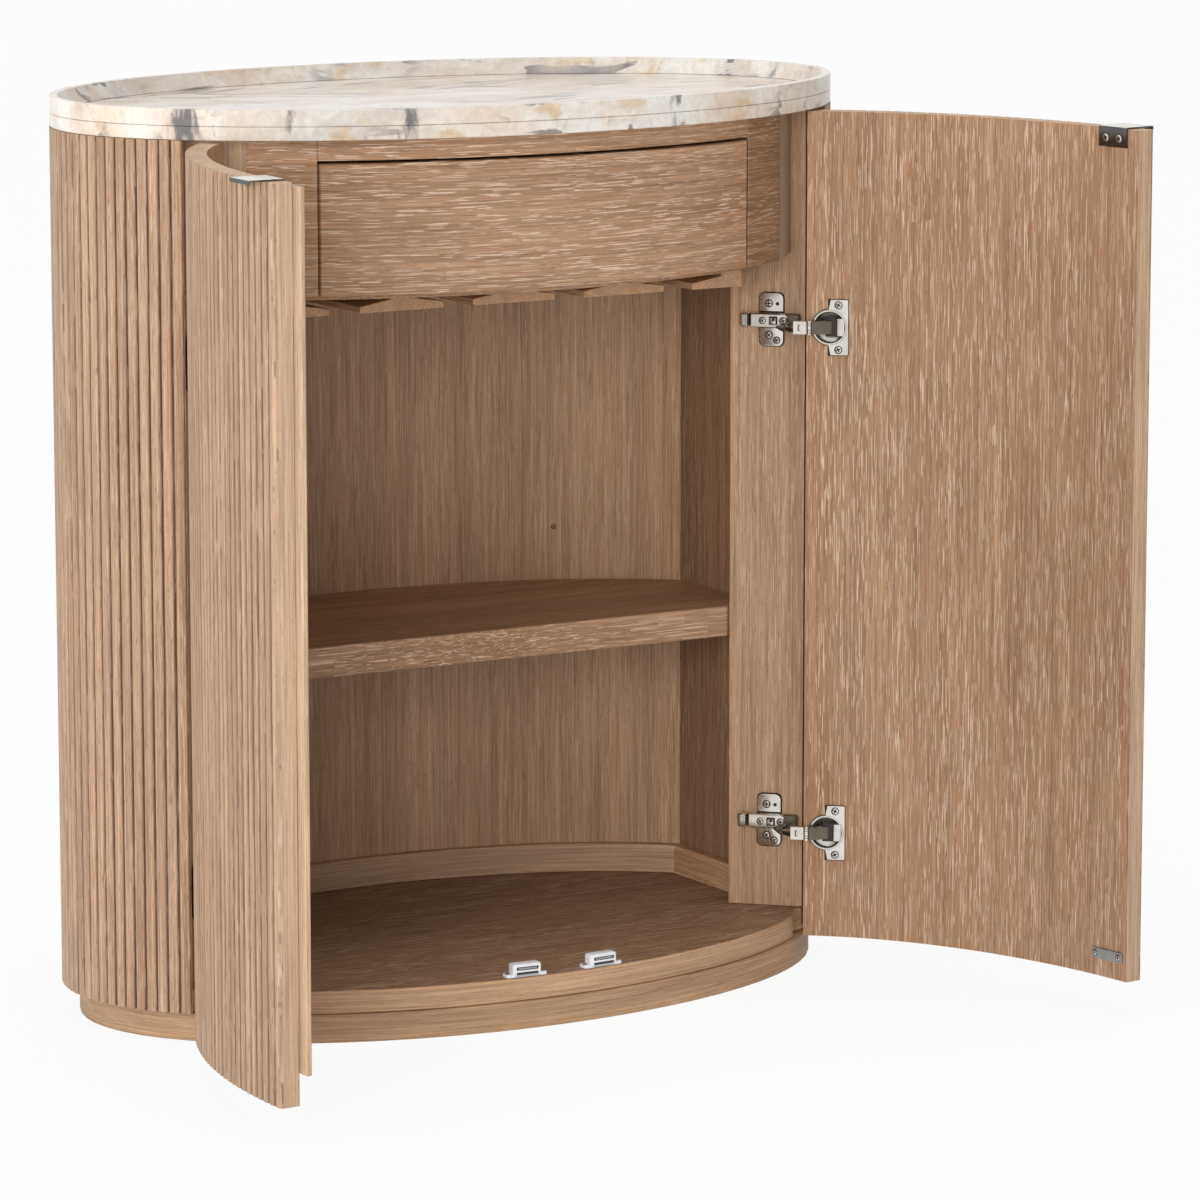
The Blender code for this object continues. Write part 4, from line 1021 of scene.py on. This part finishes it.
def strike_screws(word):
    shape = bmesh.new()
    face = door_frame(word, front_angle(STRIKE_X, WALL), FLOOR_TOP + STRIKE_RISE)
    for x in (-16.5, 16.5):
        screw(shape, moved(face, x * MM, 0, STRIKE_FACE), 2.7 * MM, 0.4 * MM, 12.0 + x)
    piece(f"{word}_strike_screws", shape, ("nickel", "shadow"), f"{word}_door_leaf")


# Concealed hinges
def section(where, way, half, low, high, corner):
    """A bar's cross-section along the panel, low to high off it and round on top, in mm."""
    place, out, up, off = where
    points = [(-half, low), (half, low)]
    for sx, turn in ((1, 0), (-1, 90)):
        for step in range(4):
            a = math.radians(turn + 30 * step)
            x = sx * (half - corner) + corner * math.cos(a)
            points.append((x, high - corner + corner * math.sin(a)))
    return [place + way * MM * out + x * MM * up + y * MM * off for x, y in points]


def hinge_arm(word, level):
    """The plate, the long cover with its screws and window, and the neck to the link's pin; the
    plate's edges, a patch under the cover, a hole, the window and its dot are dark as painted
    shade, and the tongue and neck dark nickel as painted shade.
    """
    base = panel_frame(word, HINGES[level])
    place, out, up, off = base
    shape = bmesh.new()
    outline = rounded(PLATE_WIDTH, PLATE_LENGTH, 6 * MM)
    plate(shape, moved(base, PLATE_WAY), outline, 0.3 * MM, PLATE_BED, 0.8 * MM, 0, 2)
    bed = moved(base, PLATE_WAY, 0, PLATE_BED)
    painted_shade_under_cover = rounded(PLATE_WIDTH - 1 * MM, 17.4 * MM, 1 * MM)
    plate(shape, bed, painted_shade_under_cover, -0.4 * MM, 0.1 * MM, 0.05 * MM, 2)
    cover = (
        (-75.5, 7.3, 3.6, 13.3, 1.6),
        (-50.0, 7.3, 3.6, 13.4, 1.6),
        (-42.6, 7.3, 5.0, 13.4, 1.6),
        (-40.0, 6.4, 6.0, 13.3, 1.6),
        (-38.0, 4.6, 6.6, 12.9, 1.6),
        (-36.8, 2.4, 7.4, 12.0, 1.2),
    )
    stack(shape, [section(base, *ring) for ring in cover])
    tongue = (
        (-46.0, 6.8, 4.6, 10.4, 1.0),
        (-27.5, 6.6, 4.6, 10.4, 1.0),
        (-26.5, 5.6, 5.2, 9.6, 1.0),
    )
    stack(shape, [section(base, *ring) for ring in tongue], [3, 3, 3])
    screws = ((-2.4, 16.5, 3.3, 0), (-2.4, -15.8, 3.3, 40), (5.8, -20.8, 3.0, 25))
    for way, rise, radius, turn in screws:
        screw(shape, moved(bed, way * MM, rise * MM), radius * MM, 0.8 * MM, turn)
    hole = moved(bed, 6.5 * MM, 16.2 * MM)
    plate(shape, hole, circle(1.9 * MM, 16), -0.3 * MM, 0.08 * MM, 0.02 * MM, 1)
    crown = moved(base, 0, 0, ARM_CROWN - 0.12 * MM)
    screw(shape, moved(crown, -63.8 * MM), 2.9 * MM, 0.5 * MM, 30)
    screw(shape, moved(crown, -42.4 * MM), 3.2 * MM, 0.5 * MM, 10)
    window = moved(crown, -52.6 * MM)
    plate(shape, window, rounded(9 * MM, 8.8 * MM, 0.8 * MM), -0.3 * MM, 0.10 * MM, 0.03 * MM, 1)
    pad = moved(window, -0.6 * MM, -0.6 * MM)
    plate(shape, pad, rounded(6 * MM, 6 * MM, 0.6 * MM), -0.3 * MM, 0.22 * MM, 0.1 * MM)
    dot = moved(window, 0.2 * MM, 0.9 * MM)
    plate(shape, dot, circle(1.7 * MM, 16), -0.3 * MM, 0.36 * MM, 0.05 * MM, 1)
    side_on = (place - 7.4 * MM * up, out, off, up)
    neck = (
        (-50 * MM, 6 * MM),
        (-40 * MM, 6 * MM),
        (NOSE_WAY + 3.6 * MM, NOSE_RISE - 1.5 * MM),
        (NOSE_WAY + 2.2 * MM, NOSE_RISE + 3.2 * MM),
        (NOSE_WAY - 2.2 * MM, NOSE_RISE + 3.4 * MM),
        (NOSE_WAY - 4.0 * MM, NOSE_RISE),
        (-50 * MM, 13 * MM),
    )
    plate(shape, side_on, neck, 0, 1.9 * MM, 0.3 * MM, 3)
    name = f"{word}_{level}"
    looks = ("nickel", "shadow", "rim", "nickel_painted_shade")
    piece(f"{name}_hinge_arm", shape, looks, "cabinet", (f"{name}_arm",))


def hinge_lever(word, level):
    """The release lever: the ribbed end of the arm's cover, its ribs marked by dark nickel strips
    as painted shade.
    """
    base = panel_frame(word, HINGES[level])
    shape = bmesh.new()
    rings = (
        (-76.1, 6.7, 4.3, 5.7, 0.6),
        (-79.9, 6.9, 4.3, 13.3, 1.6),
        (-85.0, 6.9, 4.3, 13.3, 1.6),
        (-87.2, 6.6, 4.3, 11.3, 1.6),
        (-88.6, 6.0, 4.3, 9.4, 1.4),
    )
    stack(shape, [section(base, *ring) for ring in rings])
    for way in (-81.2, -82.7, -84.2):
        rib = moved(base, way * MM, 0, 13.15 * MM)
        plate(shape, rib, rounded(0.6 * MM, 10.6 * MM, 0.25 * MM), -0.4 * MM, 0.2 * MM, 0.1 * MM, 1)
    name = f"{word}_{level}"
    looks = ("nickel", "nickel_painted_shade")
    piece(f"{name}_ribbed_lever", shape, looks, f"{name}_release", (f"{name}_lever",))


def ribbon(spine, half):
    """The outline of a strip of even width along a bent line."""
    left = []
    right = []
    for i, point in enumerate(spine):
        way = (spine[min(i + 1, len(spine) - 1)] - spine[max(i - 1, 0)]).normalized()
        side = half * Vector((-way.y, way.x))
        left.append(point + side)
        right.append(point - side)
    return [*left, *reversed(right)]


def hinge_link(word, level):
    """The link: a strap from the pin, a bright block, a barrel at the door's edge, a dark neck; the
    strap and neck are dark nickel and the block's slot and the barrel's bands black, all as painted
    shade.
    """
    turn = Matrix.Rotation(math.radians(OPEN[word]), 2)
    nose = JOINT + (NOSE_RISE - PANEL_SETBACK) * JOINT_ALONG + NOSE_WAY * JOINT_NORMAL
    corner = AXIS + turn @ (DOOR_INNER - AXIS)
    inside = turn @ -normal(DOOR_INNER_ANGLE)
    along = turn @ -tangent(DOOR_INNER_ANGLE)
    mouth = AXIS + turn @ (oval(CUP_ANGLE, WALL) - AXIS)
    into = turn @ normal(CUP_ANGLE)
    near = corner + LINK_OVER * inside - 0.5 * CUP_FROM_EDGE * along
    over = corner + 1.14 * LINK_OVER * inside + 0.3 * LINK_OVER * along
    past = corner + LINK_OVER * inside + 0.5 * CUP_FROM_EDGE * along
    across = Vector((SIDES[word], 0, 0))
    plan = (Vector((0, 0, HINGES[level])), across, Vector((0, 1, 0)), UP)
    shape = bmesh.new()

    def upright(points, low, high, edge, look):
        plate(shape, plan, [(p[0], p[1]) for p in points], low * MM, high * MM, edge * MM, look)

    upright(ribbon([nose, near + 3 * MM * along], 2.2 * MM), -5.3, -1.8, 0.4, 2)
    upright(circle(2.1 * MM, 20, nose), -7.9, -1.4, 0.4, 0)
    block = [near - 2.5 * MM * along, near, over - 2.4 * MM * along]
    upright(ribbon(block, 2.3 * MM), -6.4, 6.4, 0.6, 0)
    window = near + 0.25 * (over - near) + 2.35 * MM * inside
    place = on_side(word, window, HINGES[level])
    face = (place, on_side(word, along), UP, on_side(word, inside))
    plate(shape, face, rounded(2.6 * MM, 6.4 * MM, 0.4 * MM), -0.4 * MM, 0.12 * MM, 0.03 * MM, 1)
    bar = moved(face, 0.5 * MM)
    plate(shape, bar, rounded(1.2 * MM, 5.2 * MM, 0.3 * MM), -0.4 * MM, 0.25 * MM, 0.03 * MM, 0)
    upright(circle(3.0 * MM, 24, over), -7.2, 7.2, 0.6, 0)
    for z in (-4.9, -2.5, 2.5, 4.9):
        upright(circle(3.08 * MM, 24, over), z - 0.25, z + 0.25, 0.05, 1)
    neck = [over + 2.6 * MM * along, past, mouth, mouth + 5 * MM * into]
    upright(ribbon(neck, 2.2 * MM), -6.5, 6.5, 0.6, 2)
    name = f"{word}_{level}"
    looks = ("nickel", "black", "nickel_painted_shade")
    piece(f"{name}_hinge_link", shape, looks, f"{name}_swing_link", (f"{name}_link",))


def cup_ring(radius=None, grow=0.0, steps=72):
    """Turns round the cup, as a circle of this radius or as the rim with its upright flange."""
    high = 0.5 * CUP_TALL + grow
    near = CUP_NEAR + grow
    far = CUP_FAR + grow
    corners = [math.atan2(s * 0.5 * CUP_TALL, x) for s in (-1, 1) for x in (CUP_NEAR, -CUP_FAR)]
    meets = [s * math.acos(CUP_NEAR / CUP_RIM) for s in (-1, 1)]
    even = [2 * math.pi * (i + 0.5) / steps - math.pi for i in range(steps)]
    turns = sorted([*corners, *meets, *even])
    points = []
    for turn in turns:
        side = math.cos(turn)
        reach = near / side if side > 0 else -far / min(side, -1e-9)
        flange = min(reach, high / max(abs(math.sin(turn)), 1e-9))
        size = radius or max(CUP_RIM + grow, flange)
        points.append((size * math.cos(turn), size * math.sin(turn)))
    return points


def hinge_cup(word, level):
    """The cup with its rim and flange, and the spring cover and slide plate in its dark inside; the
    inside's pocket and the slide's seat are painted shadow, the rim's step and the flange's edges
    dark as painted shade, and the spring cover dark nickel as painted shade.
    """
    where = door_frame(word, CUP_ANGLE, HINGES[level])
    shape = bmesh.new()
    rings = (
        (cup_ring(13.4 * MM), -6.6),
        (cup_ring(CUP_MOUTH), -5.4),
        (cup_ring(CUP_MOUTH), 1.7),
        (cup_ring(CUP_MOUTH + 0.5 * MM), 2.3),
        (cup_ring(CUP_RIM - 1.2 * MM), 2.3),
        (cup_ring(CUP_RIM - 0.9 * MM), 2.0),
        (cup_ring(grow=-0.7 * MM), 2.0),
        (cup_ring(), 1.7),
        (cup_ring(), 1.0),
        (cup_ring(17.4 * MM), 1.0),
        (cup_ring(17.4 * MM), -6.0),
        (cup_ring(13 * MM), -12.0),
    )
    levels = [framed(where, points, depth * MM) for points, depth in rings]
    stack(shape, levels, [0, 0, 0, 0, 2, 0, 2, 2, 2, 2, 2, 2])
    pocket = moved(where, -1.0 * MM)
    plate(shape, pocket, rounded(11 * MM, 18.5 * MM, 1 * MM), -8 * MM, 0.4 * MM, 0.4 * MM, 1)
    spring = moved(pocket, 1.4 * MM, 0.5 * MM)
    plate(shape, spring, rounded(5 * MM, 8.6 * MM, 0.6 * MM), 0, 0.8 * MM, 0.3 * MM, 3)
    slide = moved(where, -11.2 * MM)
    plate(shape, slide, rounded(9 * MM, 19.6 * MM, 0.8 * MM), -8 * MM, 1.1 * MM, 0.3 * MM, 1)
    plate(shape, slide, rounded(7.6 * MM, 17.4 * MM, 0.8 * MM), 0, 1.6 * MM, 0.5 * MM)
    for rise in (-22.5, 22.5):
        screw(shape, moved(where, -9 * MM, rise * MM, 2.0 * MM), 3.2 * MM, 0.6 * MM, rise)
    name = f"{word}_{level}"
    looks = ("nickel", "shadow", "rim", "nickel_painted_shade")
    piece(f"{name}_hinge_cup", shape, looks, f"{word}_door_leaf", (f"{name}_cup",))


def dress_boards():
    soften("stone_slab", "stone", 1.2 * MM, steps=3)
    soften("stone_lip", "stone", 1.6 * MM, steps=3)
    soften("plinth", "skirt", 1.0 * MM)
    for name in ("top_rail", "drawer_front"):
        soften(name, "front", 1.0 * MM)
    soften("back_kick", "kick", 1.0 * MM)
    # The right stile takes the darker oak as painted shade.
    for name, look in (("left_stile", "front"), ("right_stile", "stile")):
        soften(name, look, 0.8 * MM, STILE_END)
    # The floor panel's top takes a dark oak as painted shade.
    soften("floor_panel", "ground", 1.0 * MM, FLOOR_EDGE)
    soften("shelf", "top", 1.0 * MM, SHELF_EDGE)
    for name in ("left_hinge_panel", "right_hinge_panel"):
        soften(name, "upright", 0.6 * MM)
    soften("back_panel", "lining", 0.6 * MM)
    # The inner sides take a dark oak as painted shade.
    for name in ("left_inner_side", "right_inner_side"):
        soften(name, "side", 0.6 * MM)
    soften("astragal", "edge", 0.9 * MM)
    for name in ("drawer_deck", "sub_top", "drawer_back", "drawer_bottom"):
        soften(name, "top", 0.4 * MM)
    for name in ("kick", "runner"):
        for word in ("left", "right"):
            soften(f"{word}_{name}", "run", 0.5 * MM)
    for word in ("left", "right"):
        soften(f"drawer_{word}_side", "run", 0.5 * MM)
    for number in range(1, 6):
        soften(f"glass_rail_{number}", "run", 0.8 * MM)
    for number in range(1, 5):
        soften(f"shelf_pin_{number}", "nickel", 0.3 * MM)


camera()
stage()
dress_boards()
wall()
for word in SIDES:
    door(word)
    joint_cover(word)
    catch(word)
    pull(word)
    soften(f"{word}_strike", "steel", 0.4 * MM)
    strike_screws(word)
    for level in HINGES:
        hinge_arm(word, level)
        hinge_lever(word, level)
        hinge_link(word, level)
        hinge_cup(word, level)
